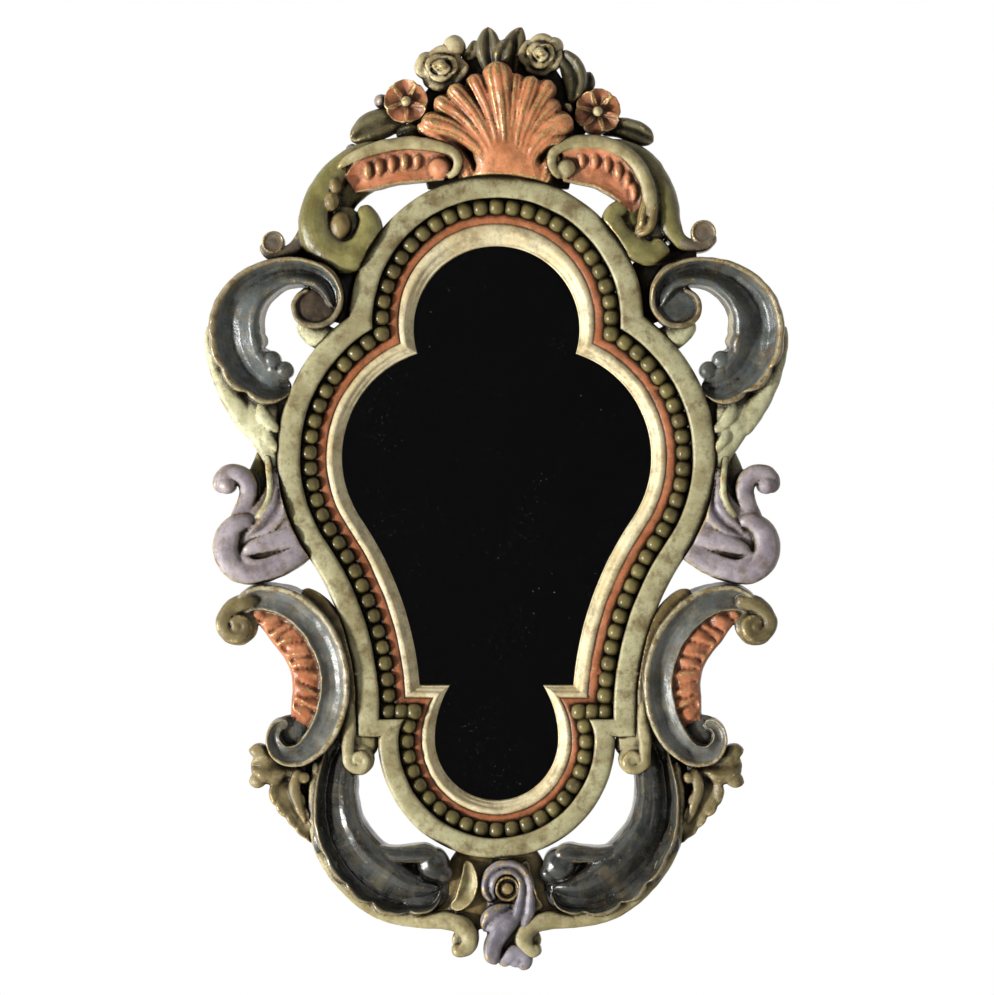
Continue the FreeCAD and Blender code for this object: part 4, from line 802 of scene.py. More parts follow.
# Volute gilding: olive gold on the rolled ends.
volute_paint = paint("volute_gilding", "#8A7D56", "#62573A", rim="#B09E70", wall="#756A45")
TROUGH = [(-1, -0.5, 1.2), (-0.97, -0.12, 0.95), (-0.86, 0, 0.9), (-0.7, -0.05, 0.85), (-0.55, -0.24, 0.3),
          (-0.35, -0.5, 0), (0, -0.7, 0), (0.35, -0.7, 0), (0.65, -0.54, 0.1), (0.84, -0.36, 0.3),
          (0.94, -0.32, 0.7), (1, -0.6, 1.2)]
c_rows = [(72, 70, 6, 28), (62, 74.2, 7.8, 29), (51.3, 73.4, 8.6, 30), (41.5, 70, 9.2, 30.5),
          (32.1, 63, 9.4, 30.5), (21.4, 49.6, 9.6, 30.5), (14.4, 30.7, 9.4, 30.5), (13.2, 16.4, 9.4, 30.5),
          (15.4, 2.7, 9.6, 30.5), (19.4, -8.2, 9.4, 30.5), (26.4, -18.6, 8.4, 30.5), (36.8, -26, 7, 30.5),
          (46.6, -25.2, 6, 30.5), (52, -18.6, 5, 30), (52.2, -11.5, 4.2, 29), (48, -6.4, 3.6, 28),
          (42.5, -5.8, 3, 27)]
c_parts = [
    strap(FLANK, c_rows, TROUGH, 0, cap=7.5, tips=(0, 3), flare=(1.2, 1.0)),
    strap(FLANK, [(66, 65, 2.4, 24), (57, 61, 6.4, 26), (46, 52, 9.8, 26.5), (37.4, 41.5, 10, 26.5),
                  (31.6, 28.9, 10.2, 26.5), (30.4, 15.5, 10, 26.5), (32.4, 2.7, 9.2, 26), (35, -7, 6.5, 23)],
          ROUND, 1, ribs=(8.6, 3), step=0.7),
    turned(FLANK, (42, -13.4), knob(13, 21, 2.4), 3),
    strap(FLANK, [(62, 73, 4, 26), (70.4, 71.4, 5.4, 27.5), (78, 68.4, 5.6, 28)]
          + curl((75.2, 56.8), 10, 42, -400, 4.8, 28.5), ROUND, 2, tips=(4, 2), step=0.8),
    turned(FLANK, (75.2, 56.8), knob(13, 23, 3), 2),
    turned(FLANK, (75.6, 56.4), knob(4, 26, 3), 2),
    strap(FLANK, [(34, 79, 3, 20), (26, 73, 5, 22), (16, 62, 5.4, 23), (8.4, 47, 4.6, 24), (4, 31, 4, 24),
                  (3, 14, 3.6, 24), (4, -4, 3, 23)],
          ROUND, 4, cap=3, tips=(5, 5)),
    turned(FLANK, (71, 65.4), knob(6, 22, 3), 2),
]
for side, name in ((1, "right"), (-1, "left")):
    carve("c_scroll_" + name, c_parts, [waist_blue, flute_paint, volute_paint, slate, gilding],
          side, 4.0)

# Ring volutes. Small sage bands, carved and glued on, that run down between the C-scrolls and the ring
# and roll up under its step.
# Sage and gilt: a warm pale green, gold where it is rubbed.
foot_paint = paint("sage_gilt_tempera", "#C2B78B", "#9C9064", rim="#CFC294", wall="#857B52", glaze_and_shade=0.85)
ring_volute_parts = [
    strap(FLANK, [(3, 44, 3, 19), (2.4, 26, 4.4, 20), (2, 8, 6.4, 21), (0, -6, 9.6, 22), (-2, -18, 12, 22),
                  (-6, -29, 9, 20)], ROUND, 0, cap=4,
          tips=(6, 5)),
    strap(FLANK, [(5, 24, 2.6, 22), (4.6, 8, 4.2, 24), (4.4, -6, 5, 25.5), (5, -17, 4.4, 26.5)]
          + curl((-2.1, -28.9), 7.4, 20, -440, 3.6, 27), ROUND, 0, tips=(4, 2), step=0.8),
    turned(FLANK, (-2.1, -28.9), knob(9.8, 21.5, 3), 0),
    turned(FLANK, (-2.1, -28.9), knob(3.4, 25, 2), 0),
]
for side, name in ((1, "right"), (-1, "left")):
    carve("ring_volute_" + name, ring_volute_parts, [foot_paint], side, 5.0)

# Base scrolls. Big ink-blue acanthus leaves that sweep from the C-scrolls to the pendant, with a bright
# ridge, a pale green rim outside and rolled end lobes.
# Ink-blue tempera: the darkest and glossiest paint, with long lights on the ridge.
ink = paint("ink_blue_tempera", "#404443", "#282B2A", rim="#9A8F6C", wall="#857F58", rim_at=0.66, rough=0.2,
            glaze_and_shade=0.75, stain=0.3, wear=0.35, shine=0.9)
SCOOP_ROLL = [(-1, -1.2, 0.5), (-0.93, -0.66, 0.3), (-0.8, -0.24, 0.2), (-0.6, 0.04, 0.1), (-0.38, 0.1, 0),
              (-0.16, -0.04, 0), (0.05, -0.36, 0), (0.25, -0.7, 0), (0.46, -0.84, 0), (0.64, -0.62, 0),
              (0.78, -0.24, 0.3), (0.88, -0.02, 0.85), (0.95, -0.08, 0.95), (1, -0.4, 1.2)]
base_rows = [(97, 84, 8, 17), (99, 70, 10.6, 19.5), (100.6, 56, 12.8, 25), (102, 37.7, 14.4, 30),
             (99.6, 21, 16, 32), (94, 8.6, 17.6, 32), (84.6, -4, 19, 31.5), (72, -14, 19.6, 30),
             (58, -21, 16.6, 28.5), (45, -22, 12.4, 27.5), (35.6, -19, 8, 26.5)]
base_parts = [
    strap(BASE, base_rows, SCOOP_ROLL, 0, cap=11, tips=(0, 9), lobes=(17, 0.24, -0.5, 60, 105, 0),
          flare=(1, 1)),
    strap(BASE, [(78, 7, 3, 28), (66, 3.6, 4.6, 30), (54, 3.6, 5.6, 31), (44, 3.6, 6, 31), (38, -1, 5, 30)],
          ROUND, 0, tips=(5, 5)),
    turned(BASE, (40, -3.2), knob(10.4, 23, 8.5), 0),
    turned(BASE, (33.4, -9), knob(6, 23, 6), 0),
    strap(BASE, [(114.6, 62, 2, 22), (116.4, 43.8, 3.2, 24), (116.4, 26.7, 3.8, 24.5), (113, 9.5, 4.2, 24.5),
                 (104.4, -6.4, 4.8, 24.5), (92.4, -20, 5.2, 24.5), (78.4, -31, 5.2, 24.5),
                 (62.5, -37, 5.2, 24.5), (46.6, -39.6, 4.6, 24)], ROUND, 1, cap=4, tips=(4, 0)),
    strap(BASE, [(112, 22, 2.6, 28), (113.5, 12, 3, 28), (113.4, 3, 1.8, 26)], ROUND, 0, tips=(4, 5)),
    strap(BASE, [(104, 0, 2.6, 28), (102.4, -8, 3, 28), (99, -16, 1.8, 26)], ROUND, 0, tips=(4, 5)),
    turned(BASE, (46, -18), knob(17, 19, 3), 0),
    strap(BASE, [(100, 87, 12, 16), (111, 68, 9, 16), (113, 48, 6, 16)], ROUND, 0),
]
for side, name in ((1, "right"), (-1, "left")):
    carve("base_scroll_" + name, base_parts, [ink, foot_paint], side, 6.0)

# Leaf sprigs. Ruffled gilt-olive leaves that hang outside the base scrolls, glued to these and to the
# C-scrolls: one leaf to the side with two small tips and one blade downwards with a rib.
# Sprig gilding: olive gold, dark between the leaves.
sprig_paint = paint("sprig_gilding", "#93855E", "#6F633F", rim="#B2A174", wall="#655A3A")
BLADE = both([(0, -0.3, 0), (0.35, -0.22, 0), (0.65, -0.02, 0.2), (0.86, 0.04, 0.6), (0.96, -0.12, 0.85),
              (1, -0.5, 1.2)])
sprig_parts = [
    strap(FLANK, [(32, -30, 7, 20), (44, -31, 11.4, 24), (56, -33, 13, 27), (67, -32, 9, 26)], LEAF, 0, cap=9,
          tips=(0, 7), lobes=(9.4, 0.16, 0.5, -1, 0, 1)),
    strap(FLANK, [(54, -27, 3, 25), (62, -23.6, 5, 26.5), (68, -22.6, 3, 25)], ROUND, 0, tips=(3, 4)),
    strap(FLANK, [(56, -39, 3, 25), (63, -42, 5, 26.5), (68, -43.4, 3, 25)], ROUND, 0, tips=(3, 4)),
    strap(FLANK, [(42, -38, 8, 22), (44.5, -50, 11, 25.5), (38.5, -61, 9, 25.5), (32.5, -72, 6, 24.5),
                  (26, -82, 2.4, 22)], BLADE, 0, cap=7,
          tips=(0, 5), lobes=(10.4, 0.16, 0.6, -1, 0, 1)),
    strap(FLANK, [(36, -33, 3, 25), (39, -46, 3.6, 27.5), (36, -58, 3, 27), (32, -69, 1.6, 25)], ROUND, 0,
          tips=(4, 5)),
    turned(FLANK, (33, -40), knob(4, 24, 3), 0),
    strap(FLANK, [(34, -28, 8, 16), (31, -50, 8, 16), (27, -72, 5, 15), (23, -84, 3, 14)], ROUND, 0),
]
for side, name in ((1, "right"), (-1, "left")):
    carve("leaf_sprig_" + name, sprig_parts, [sprig_paint], side, 7.0)

# Base feet. A pale crescent leaf and a rolled foot on each side of the pendant, carved on one gilt ground
# that is glued under the ring.
# Ground gilding: plain worn gold behind the leaf and the foot.
ground_gilding = paint("ground_gilding", "#A08B58", "#75643C", rim="#B8A068", wall="#75643C", glaze_and_shade=0.5,
                       wear=1.4)
foot_parts = [
    strap(BASE, [(19, -1, 2, 22), (17, -10.1, 5, 26.5), (18.4, -19.5, 6.2, 27.5), (23, -27.6, 5, 26.5),
                 (29.5, -31, 2.2, 24)], CUP, 0,
          tips=(3, 4)),
    strap(BASE, [(60, -39, 4, 23), (44, -39.4, 5, 25), (32, -39.2, 6, 26), (21.8, -42.4, 6.4, 27),
                 (17, -49.3, 6, 27.5), (18.6, -56, 5.2, 27.5), (24, -58.3, 4.2, 27.5),
                 (27.2, -54.6, 3.2, 26.5)], ROUND, 0, tips=(5, 3)),
    turned(BASE, (22.5, -52), knob(6, 21, 2), 0),
    strap(BASE, [(28, -28, 7, 18), (40, -34, 7, 18), (54, -38, 5, 18)], ROUND, 1),
    strap(BASE, [(12, 5, 12, 18), (17, -14, 17, 20), (18, -32, 17, 20), (16, -46, 10, 18)], ROUND, 1, cap=5),
]
for side, name in ((1, "right"), (-1, "left")):
    carve("base_foot_" + name, foot_parts, [foot_paint, ground_gilding], side, 8.0)

# Pendant. A lilac drop at the foot, a little right of the middle: a roll bent round a turned gilt boss,
# two folded leaves and a curled end.
# Pendant lilac: a cooler violet grey with pale edges.
pendant_paint = paint("pendant_lilac", "#98939C", "#706B74", rim="#B4ACAC", wall="#6C6666")
pendant_parts = [
    strap(BASE, [(6.1, 4, 8, 15), (6.7, -16, 13.5, 22), (8, -35.7, 14.5, 24), (6.5, -50, 12.5, 24),
                 (5.5, -60, 9, 22)], ROUND, 0, cap=4, tips=(0, 6)),
    strap(BASE, [(-0.7, -27, 3, 25), (-5, -20.3, 4.8, 27), (-3.9, -11.7, 5.2, 28), (3.3, -5.6, 5, 28),
                 (12.4, -6.5, 5, 28), (18, -14, 5.4, 28), (18.6, -23.1, 6.4, 28), (17.4, -32.3, 7.4, 28),
                 (14.6, -41.4, 6.4, 27.5), (11, -48.3, 3.4, 26)], LEAF, 0,
          cap=5, tips=(3, 4)),
    strap(BASE, [(11.8, -29.4, 3, 25), (3.3, -34, 7, 28.5), (-3.6, -39, 7, 29), (-8.2, -46, 3.6, 26)], LEAF,
          0, cap=6, tips=(3, 5)),
    strap(BASE, [(15.3, -32.3, 3, 25), (8.6, -40, 5.4, 29), (2.4, -47, 6, 29.5), (-1.6, -53.7, 6, 29),
                 (-2.4, -61, 5.6, 28.5), (0, -67, 3.6, 26)], ROUND, 0, cap=5, tips=(3, 5)),
    strap(BASE, [(2, -67.5, 3, 24), (7, -63, 4.6, 26), (12, -58.5, 5, 27), (18, -61, 4.6, 27),
                 (18.6, -66.5, 3.8, 26), (13.5, -68.6, 2.8, 25)],
          ROUND, 0, tips=(3, 3)),
    turned(BASE, (12.6, -63.2), knob(6, 22, 4), 0),
]
carve("pendant", pendant_parts, [pendant_paint], 1, 9.0)
boss_profile = [(8.3, 23, 1.3), (8.3, 26.4, 0.4), (7.6, 27.6, 0.2), (6.6, 27.8, 0.2), (5.8, 26.6, 0),
                (5.2, 25, 0), (4.4, 26, 0), (3.4, 28.2, 0), (1.8, 29.3, 0), (0.02, 29.6, 0)]
carve("pendant_boss", [turned(BASE, (7, -18.6), boss_profile)], [gilding], 1, 9.5, soften=1)

# Crest shell. A leafy terracotta shell glued on a thin olive ground board: a flared trunk and eleven fluted
# lobes that bend outwards, the middle one highest.
# Shell terracotta: the brightest orange, rubbed to gold on every flute.
shell_paint = paint("shell_terracotta", "#EC9A6A", "#C67C50", rim="#EEBC8E", wall="#8A4C28", rough=0.3,
                    wear=2.4, glaze_and_shade=0.8)
# Ground olive: dark, so that shell and flowers stand forward.
ground_paint = paint("ground_olive", "#4F4A32", "#3A3420", rim="#4F4A32", wall="#3A3420")
ground_line = [(-44, -9), (-50, 16), (-58, 36), (-46, 52), (-34, 67), (-20, 76), (2, 80), (26, 76), (38, 67),
               (48, 52), (61, 37), (52, 16), (46, -9)]
count = len(ground_line)
ground_points = np.array([(x + CROWN[0], -front, z + CROWN[1])
                          for front in (8, 16.5) for x, z in ground_line])
ground_zones = np.repeat([(1.8, 0), (0, 0)], count, axis=0)
ground_faces = [tuple(range(count)), tuple(range(count, 2 * count))]
ground_faces += [(k, (k + 1) % count, count + (k + 1) % count, count + k) for k in range(count)]
carve("crest_ground", [(ground_points, ground_faces, ground_zones, 0)], [ground_paint], 1, 10.0)
FAN = both([(0, 0.1, 0), (0.18, 0.05, 0), (0.34, -0.12, 0), (0.48, -0.04, 0), (0.62, -0.1, 0.2),
            (0.8, -0.5, 0.4), (0.93, -0.9, 0.6), (1, -1.2, 1.2)])
shell_tips = [((-47.6, 33.6), 8.6, 33.5, -17), ((-39, 47), 7.4, 32, -13), ((-29.5, 55.4), 6.8, 35.5, -9.5),
              ((-16, 62.6), 7, 33, -5.5), ((-0.8, 70.6), 10.4, 37.5, -0.5), ((12.4, 63.6), 6, 33.5, 3.4),
              ((23.4, 61.4), 7.4, 36.5, 7), ((34.6, 58.6), 7.6, 34, 10), ((39.4, 46), 6.8, 32, 13),
              ((48.4, 34), 9.4, 35.5, 16.5), ((45, 21.6), 6.6, 31, 19)]
SHELL_BACK = 10
shell_parts = [
    strap(CROWN, [(8, -9, 30, 22), (8, -2, 25, 27), (6.5, 8, 20, 30.5), (4, 18, 20, 31.2), (2, 28, 20, 30.4),
                  (0, 40, 20, 28), (0, 58, 14, 25)], ROUND,
          0, cap=9, tips=(0, 8), back=SHELL_BACK),
    strap(CROWN, [(-15, -6, 6, 24), (-22, 7, 6.4, 27), (-31, 18, 6, 29), (-42, 26, 5, 30),
                  (-50, 31, 3.4, 29)], FAN, 0, tips=(3, 5), back=SHELL_BACK),
    strap(CROWN, [(29, -6, 6, 24), (33, 5, 6.4, 27), (40, 12, 5.6, 29)], FAN, 0, tips=(3, 5),
          back=SHELL_BACK),
]
for tip, width, front, aside in shell_tips:
    base, waist = (8.5 + aside * 0.9, -6), (6.5 + aside * 0.85, 10)
    flank = (waist[0] * 0.52 + tip[0] * 0.48, waist[1] * 0.4 + tip[1] * 0.6 + abs(aside) * 0.2)
    shell_parts.append(strap(CROWN,
                             [(*base, 3.6, 25), (*waist, 4, 30),
                              (*flank, width * 0.8, (front + 32.5) / 2 + 0.6), (*tip, width, front)], FAN, 0,
                             cap=6.5, tips=(4, width * 0.95), back=SHELL_BACK))
carve("crest_shell", shell_parts, [shell_paint], 1, 11.0)

# Flowers and leaves round the shell, each carved by itself and glued to the ground board: two terracotta
# blossoms, two cream roses, some buds and olive leaves.
# Blossom terracotta: dusty orange petals with pale edges.
blossom_paint = paint("blossom_terracotta", "#CE8660", "#A9673F", rim="#DDB084", wall="#6E4228", glaze_and_shade=0.6,
                      wear=1.4)
# Rose cream: warm pale petals with brown wax and painted shade between them.
rose_paint = paint("rose_cream", "#E6D6A8", "#C6B282", rim="#E8DAAE", wall="#7A6842", glaze_and_shade=1.0)
# Leaf olive: a grey-green that stays behind the flowers.
leaf_paint = paint("leaf_olive", "#7E785A", "#5A553C", rim="#9A9068", wall="#4A452C", glaze_and_shade=0.7, wear=0.6)
for node, spot, radius, petals, front in (("blossom_left", (-57.6, 46), 15, 5, 22),
                                          ("blossom_right", (64.3, 39.6), 16, 6, 22)):
    parts = [turned(CROWN, spot, knob(3.4, front + 2, 3.4), 1),
             turned(CROWN, spot, knob(radius * 0.62, front - 3, 2), 0)]
    for k in range(petals):
        turn = 2 * math.pi * (k + 0.3) / petals
        rows = [(spot[0] + r * radius * math.cos(turn), spot[1] + r * radius * math.sin(turn),
                 half * radius * 5.5 / petals, front + up)
                for r, half, up in ((0.1, 0.18, 0), (0.5, 0.44, 2.6), (0.94, 0.54, 4.6))]
        parts.append(strap(CROWN, rows, CUP, 0, tips=(1, 5), back=13))
    carve(node, parts, [blossom_paint, rose_paint], 1, 12.0, soften=1)
for node, spot, radius, wide, front in (("rose_left", (-35, 67.5), 13.4, 1.24, 20),
                                        ("rose_right", (28, 75.5), 13, 1.04, 20)):
    parts = [turned(CROWN, spot, knob(radius * 0.86, front - 3, 7), 0, stretch=(wide, 1)),
             turned(CROWN, (spot[0] + 0.8, spot[1] + 0.6), knob(radius * 0.2, front + 7.5, 3.4), 0,
                    stretch=(wide, 1))]
    for share, petals, half, lift, start in ((0.84, 4, 0.22, 0, 0.2), (0.52, 3, 0.15, 4, 0.55),
                                             (0.28, 2, 0.1, 6.6, 0.1)):
        for k in range(petals):
            turns = [2 * math.pi * (k + start + across * 1.25) / petals for across in (0, 0.3, 0.65, 1)]
            rows = [(spot[0] + wide * radius * share * grow * math.cos(turn),
                     spot[1] + radius * share * grow * math.sin(turn), radius * half * swell,
                     front + lift + up)
                    for turn, grow, swell, up in zip(turns, (0.86, 1, 1.04, 0.96), (0.5, 1, 1, 0.5),
                                                     (-1, 1, 1.4, 0))]
            parts.append(strap(CROWN, rows, ROUND, 0, tips=(3, 3), back=13, step=0.9))
    carve(node, parts, [rose_paint], 1, 13.0, soften=1)
crest_leaves = [[(-2, 64, 5, 18), (-5, 80, 8.8, 21), (-5.5, 94, 4, 20)],
                [(8, 64, 5, 17), (12, 84, 7.4, 20), (16, 94, 3, 19)],
                [(2, 68, 4, 21), (4, 78, 6, 23), (9, 87, 3, 21)],
                [(40, 78, 4, 20), (47.4, 69, 7.4, 23), (50.5, 56, 7, 24), (47, 45, 3, 22)],
                [(50, 50, 5, 15), (57, 58, 6, 18), (60, 66, 3, 17)],
                [(-58, 38, 5, 17), (-70, 34, 9.4, 20), (-82, 29, 9.4, 20), (-93, 22, 4, 18)],
                [(-64, 25, 4, 16), (-54, 28, 5, 19), (-44, 27, 3, 16)],
                [(66, 30, 5, 17), (80, 30, 6.6, 20), (91, 26, 7.4, 21), (100, 21, 4.4, 20)],
                [(-22, 74, 3, 18), (-16, 78, 4, 20), (-14, 86, 2, 18)]]
carve("crest_leaves", [strap(CROWN, rows, LEAF, 0, tips=(3, 6)) for rows in crest_leaves],
      [leaf_paint], 1, 14.0)
buds = [turned(CROWN, (-27, 81.5), knob(7.4, 17, 6), 0), turned(CROWN, (36.5, 81.5), knob(6.2, 17, 6), 0),
        turned(CROWN, (-73.4, 47), knob(4.6, 15, 5), 1), turned(CROWN, (45, 41.5), knob(3.8, 22, 4), 1)]
carve("crest_buds", buds, [rose_paint, lilac], 1, 15.0)

# Looking glass. Old silvered plate, cut to the rabbet and pushed in from behind. It mirrors what is before
# it, with a few specks of lint and a fine powder of settled dust.
glass_paint = bpy.data.materials.new("silvered_plate")
glass_paint.use_nodes = True
tree = glass_paint.node_tree
tree.nodes.clear()
place = out(add(tree, "ShaderNodeTexCoord"), "Object")
dust = out(add(tree, "ShaderNodeTexVoronoi", Vector=place, Scale=1 / (7 * MM)), "Distance")
dust = out(add(tree, "ShaderNodeMapRange", Value=dust,
               **{"From Min": 0.03, "From Max": 0.07, "To Min": 1.0, "To Max": 0.0}))
patch = out(add(tree, "ShaderNodeTexNoise", Vector=place, Scale=1 / (60 * MM), Detail=3.0), "Fac")
patch = out(add(tree, "ShaderNodeMapRange", Value=patch, **{"From Min": 0.5, "From Max": 0.7}))
dust = out(add(tree, "ShaderNodeMath", {"operation": "MULTIPLY"}, Value=dust, Value_001=patch))
silver = add(tree, "ShaderNodeBsdfPrincipled", Metallic=1.0, Roughness=0.025,
             **{"Base Color": colour("#E4E6E2")})
lint = add(tree, "ShaderNodeBsdfDiffuse", Color=colour("#B8B4A6"))
powder = out(add(tree, "ShaderNodeTexVoronoi", Vector=place, Scale=1 / (2.6 * MM)), "Distance")
powder = out(add(tree, "ShaderNodeMapRange", Value=powder,
                 **{"From Min": 0.05, "From Max": 0.12, "To Min": 0.6, "To Max": 0.0}))
settled = out(add(tree, "ShaderNodeTexNoise", Vector=place, Scale=1 / (45 * MM), Detail=4.0), "Fac")
settled = out(add(tree, "ShaderNodeMapRange", Value=settled, **{"From Min": 0.46, "From Max": 0.66}))
powder = out(add(tree, "ShaderNodeMath", {"operation": "MULTIPLY"}, Value=powder, Value_001=settled))
dust = out(add(tree, "ShaderNodeMath", {"operation": "MAXIMUM"}, Value=dust, Value_001=powder))
dust = out(add(tree, "ShaderNodeMath", {"operation": "MULTIPLY"}, Value=dust, Value_001=0.5))
plate = add(tree, "ShaderNodeMixShader", Fac=dust, Shader=out(silver), Shader_001=out(lint))
tree.links.new(out(plate), add(tree, "ShaderNodeOutputMaterial").inputs["Surface"])
frame["nodes"]["mirror_glass"].data.materials.clear()
frame["nodes"]["mirror_glass"].data.materials.append(glass_paint)

# Back board and dowels. A thin old poplar board, bare and upright in its grain, held in the rabbet by six
# brass turn buttons. The dowels inside the ring's joints are of the same wood.
board_paint = bpy.data.materials.new("old_poplar_board")
board_paint.use_nodes = True
tree = board_paint.node_tree
tree.nodes.clear()
place = out(add(tree, "ShaderNodeTexCoord"), "Object")
stretched = out(add(tree, "ShaderNodeMapping", Vector=place, Scale=(1, 1, 0.06)))
fibre = out(add(tree, "ShaderNodeTexNoise", Vector=stretched, Scale=1 / (3 * MM), Detail=6.0, Distortion=0.6),
            "Fac")
stain = out(add(tree, "ShaderNodeTexNoise", Vector=place, Scale=1 / (70 * MM), Detail=4.0), "Fac")
fibre_tone = add(tree, "ShaderNodeMix", {"data_type": "RGBA"}, Factor_Float=fibre, A_Color=colour("#7A5C38"),
                 B_Color=colour("#B08D5C"))
board_tone = add(tree, "ShaderNodeMix", {"data_type": "RGBA", "blend_type": "MULTIPLY"}, Factor_Float=stain,
                 A_Color=out(fibre_tone, "Result_Color"), B_Color=colour("#8F7C62"))
board_bump = add(tree, "ShaderNodeBump", Strength=0.3, Distance=0.0004, Height=fibre)
board_shader = add(tree, "ShaderNodeBsdfPrincipled", Roughness=0.75, Normal=out(board_bump),
                   **{"Base Color": out(board_tone, "Result_Color")})
tree.links.new(out(board_shader), add(tree, "ShaderNodeOutputMaterial").inputs["Surface"])
for node in ("back_board", "frame_dowels"):
    frame["nodes"][node].data.materials.clear()
    frame["nodes"][node].data.materials.append(board_paint)

# Brass fittings on the back: turn buttons, their screws, the hanger's strap with its screws and the
# swinging ring. Cast or bent brass, brown with age, with brighter patches.
brass = bpy.data.materials.new("aged_brass")
brass.use_nodes = True
tree = brass.node_tree
tree.nodes.clear()
place = out(add(tree, "ShaderNodeTexCoord"), "Object")
tarnish = out(add(tree, "ShaderNodeTexNoise", Vector=place, Scale=1 / (4 * MM), Detail=6.0, Roughness=0.7),
              "Fac")
brass_tone = add(tree, "ShaderNodeMix", {"data_type": "RGBA"}, Factor_Float=tarnish,
                 A_Color=colour("#5A4526"), B_Color=colour("#B8935A"))
brass_rough = out(add(tree, "ShaderNodeMapRange", Value=tarnish, **{"To Min": 0.55, "To Max": 0.25}))
brass_bump = add(tree, "ShaderNodeBump", Strength=0.2, Distance=0.0002, Height=tarnish)
brass_shader = add(tree, "ShaderNodeBsdfPrincipled", Metallic=0.9, Roughness=brass_rough,
                   Normal=out(brass_bump), **{"Base Color": out(brass_tone, "Result_Color")})
tree.links.new(out(brass_shader), add(tree, "ShaderNodeOutputMaterial").inputs["Surface"])
fittings = ["hanger_strap", "hanger_screws", "hanger_ring", "button_screws"]
fittings += ["turn_button_%d" % k for k in range(1, 7)]
for node in fittings:
    frame["nodes"][node].data.materials.clear()
    frame["nodes"][node].data.materials.append(brass)

# Wear and painted shade. Hollows where the wax gathers and shade is painted in, and arrises where the paint
# is rubbed, measured on the carved shapes themselves and kept on each point for the paints to read.
HOLLOW_REACH, RAYS = 10 * MM, 8
block_points, block_faces, start = [], [], 0
for points, faces in blocks:
    block_points += [tuple(p) for p in points]
    block_faces += [tuple(start + v for v in face) for face in faces]
    start += len(points)
surface = BVHTree.FromPolygons(block_points, block_faces)
golden = math.pi * (3 - math.sqrt(5))
heights = [1 - (k + 0.5) / RAYS for k in range(RAYS)]
for piece in painted:
    mesh = piece.data
    points, ends = mesh_points(mesh)
    wax_and_shade = np.zeros((len(points), 1))
    for vertex in mesh.vertices:
        normal = vertex.normal
        if normal.y > 0.3:
            continue
        first = normal.orthogonal().normalized()
        second = normal.cross(first)
        origin = vertex.co + normal * 0.0006
        total = 0.0
        for k, height in enumerate(heights):
            turn = golden * (k + vertex.index)
            flat = math.sqrt(1 - height * height)
            ray = first * (flat * math.cos(turn)) + second * (flat * math.sin(turn)) + normal * height
            hit = surface.ray_cast(origin, ray, HOLLOW_REACH)
            if hit[0] is not None:
                total += (0.4 + 0.6 * height) * (1 - 0.6 * hit[3] / HOLLOW_REACH)
        wax_and_shade[vertex.index] = total
    wax_and_shade = relax(np.clip(wax_and_shade / (0.5 * RAYS), 0, 1), ends, 3)[:, 0]
    normals = np.array([v.normal for v in mesh.vertices])
    gap = points[ends[:, 1]] - points[ends[:, 0]]
    length = np.maximum((gap ** 2).sum(1), 1e-10)
    bend = np.bincount(ends[:, 0], -(normals[ends[:, 0]] * gap).sum(1) / length, len(points))
    bend += np.bincount(ends[:, 1], (normals[ends[:, 1]] * gap).sum(1) / length, len(points))
    links = np.maximum(np.bincount(ends.ravel(), minlength=len(points)), 1)
    bend = relax((bend / links)[:, None], ends, 4)[:, 0] * MM
    wax_and_shade = np.clip(wax_and_shade + np.clip(-bend - 0.05, 0, 0.3) * 1.6, 0, 1)
    arris = np.clip((bend - 0.035) / 0.17, 0, 1)
    if piece in ring_pieces:
        height = points[:, 2] / MM
        sawn = np.minimum(abs(height - shoulder_joint_z), abs(height - waist_joint_z)) < 0.8
        arris[sawn] = wax_and_shade[sawn] = 0
    for name, values in (("cavity_wax_and_shade", wax_and_shade), ("edge", arris)):
        mesh.attributes.new(name, "FLOAT", "POINT").data.foreach_set("value", values.astype(np.float32))

# Studio. A pale floor under the object, soft light from the lower left front, a plain white surround for
# the camera and a dark card behind the camera for the looking glass to mirror.
bpy.ops.object.select_all(action="DESELECT")
bpy.ops.mesh.primitive_plane_add(size=4, location=(0, 0, -1.35))
floor = bpy.context.object
floor.name = "studio_floor"
# Floor paint: a matt off-white that keeps the object's shadow.
floor_paint = bpy.data.materials.new("studio_floor")
floor_paint.use_nodes = True
floor_paint.node_tree.nodes["Principled BSDF"].inputs["Base Color"].default_value = colour("#F2F2F0")
floor_paint.node_tree.nodes["Principled BSDF"].inputs["Roughness"].default_value = 0.9
floor.data.materials.append(floor_paint)

centre_z = (crown_z + base_z) / 2 * MM + 0.012
camera_data = bpy.data.cameras.new("photo_camera")
camera_data.lens = 141
camera = bpy.data.objects.new("photo_camera", camera_data)
camera.location = (0.0003, -2.5, centre_z)
camera.rotation_euler = (math.pi / 2, 0, 0)
scene.collection.objects.link(camera)
scene.camera = camera

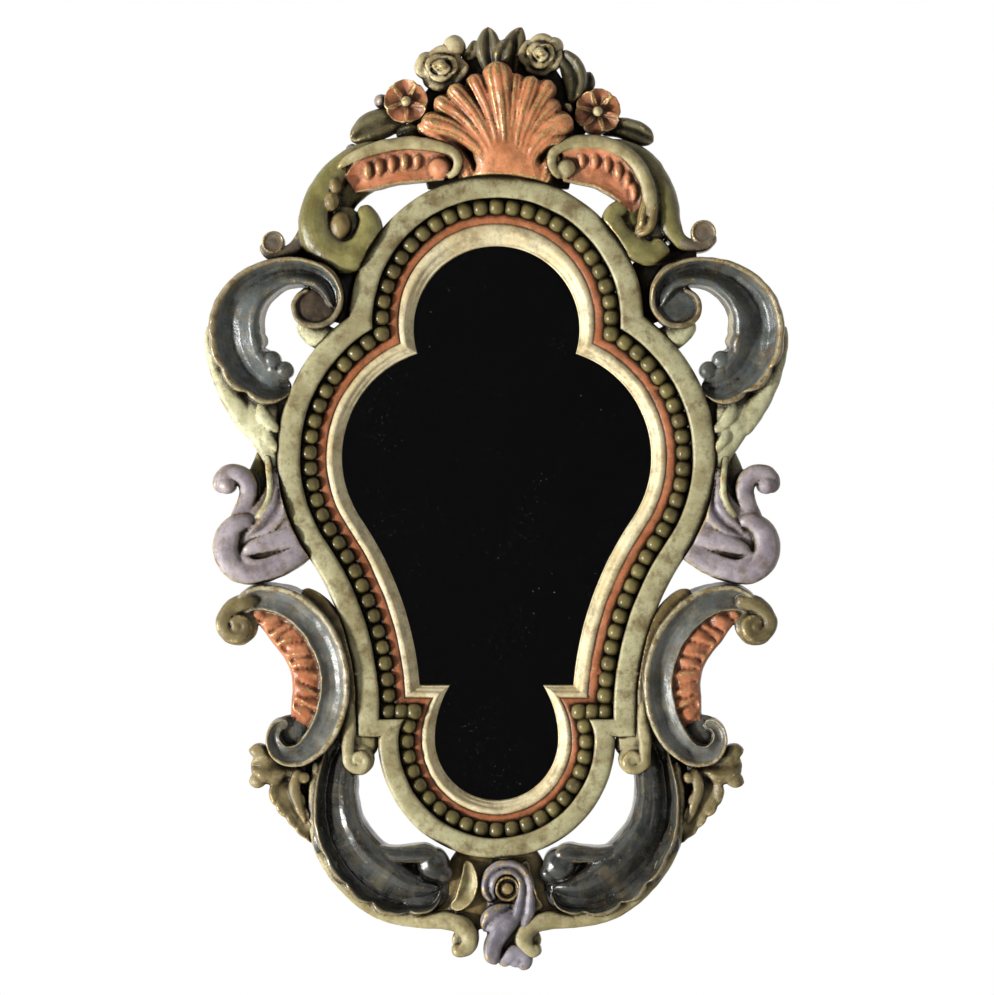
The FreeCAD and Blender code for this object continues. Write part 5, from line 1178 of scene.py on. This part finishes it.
# White surround: plain white to the camera and in mirrored light, a weak fill for all the rest.
world = bpy.data.worlds.new("studio_white")
scene.world = world
world.use_nodes = True
tree = world.node_tree
tree.nodes.clear()
path = add(tree, "ShaderNodeLightPath")
seen = add(tree, "ShaderNodeBackground", Color=(1, 1, 1, 1), Strength=1.0)
fill = add(tree, "ShaderNodeBackground", Color=(1, 1, 1, 1), Strength=0.15)
shown = out(add(tree, "ShaderNodeMath", {"operation": "MAXIMUM"}, Value=out(path, "Is Camera Ray"),
                Value_001=out(path, "Is Glossy Ray")))
shown = out(add(tree, "ShaderNodeMath", {"operation": "MAXIMUM"}, Value=shown,
                Value_001=out(path, "Is Transmission Ray")))
which = add(tree, "ShaderNodeMixShader", Fac=shown, Shader=out(fill), Shader_001=out(seen))
tree.links.new(out(which), add(tree, "ShaderNodeOutputWorld").inputs["Surface"])

for name, place, size, power in (("key_light", (-2.3, -1.4, -0.85), 0.28, 98),
                                 ("fill_light", (1.4, -2.2, 0.6), 1.6, 6)):
    lamp_data = bpy.data.lights.new(name, "AREA")
    lamp_data.size = size
    lamp_data.energy = power
    lamp = bpy.data.objects.new(name, lamp_data)
    lamp.location = place
    lamp.rotation_euler = (Vector((0, 0, centre_z)) - Vector(place)).to_track_quat("-Z", "Y").to_euler()
    scene.collection.objects.link(lamp)

bpy.ops.object.select_all(action="DESELECT")
bpy.ops.mesh.primitive_plane_add(size=12, location=(0, -3.2, centre_z), rotation=(math.pi / 2, 0, 0))
card = bpy.context.object
card.name = "dark_card"
# Card paint: a matt near-black that only mirrored light meets.
card_paint = bpy.data.materials.new("dark_card")
card_paint.use_nodes = True
card_paint.node_tree.nodes["Principled BSDF"].inputs["Base Color"].default_value = colour("#1A1A1C")
card_paint.node_tree.nodes["Principled BSDF"].inputs["Roughness"].default_value = 1.0
card_paint.node_tree.nodes["Principled BSDF"].inputs["Specular IOR Level"].default_value = 0.0
card.data.materials.append(card_paint)
for view in ("camera", "diffuse", "transmission", "volume_scatter", "shadow"):
    setattr(card, "visible_" + view, False)
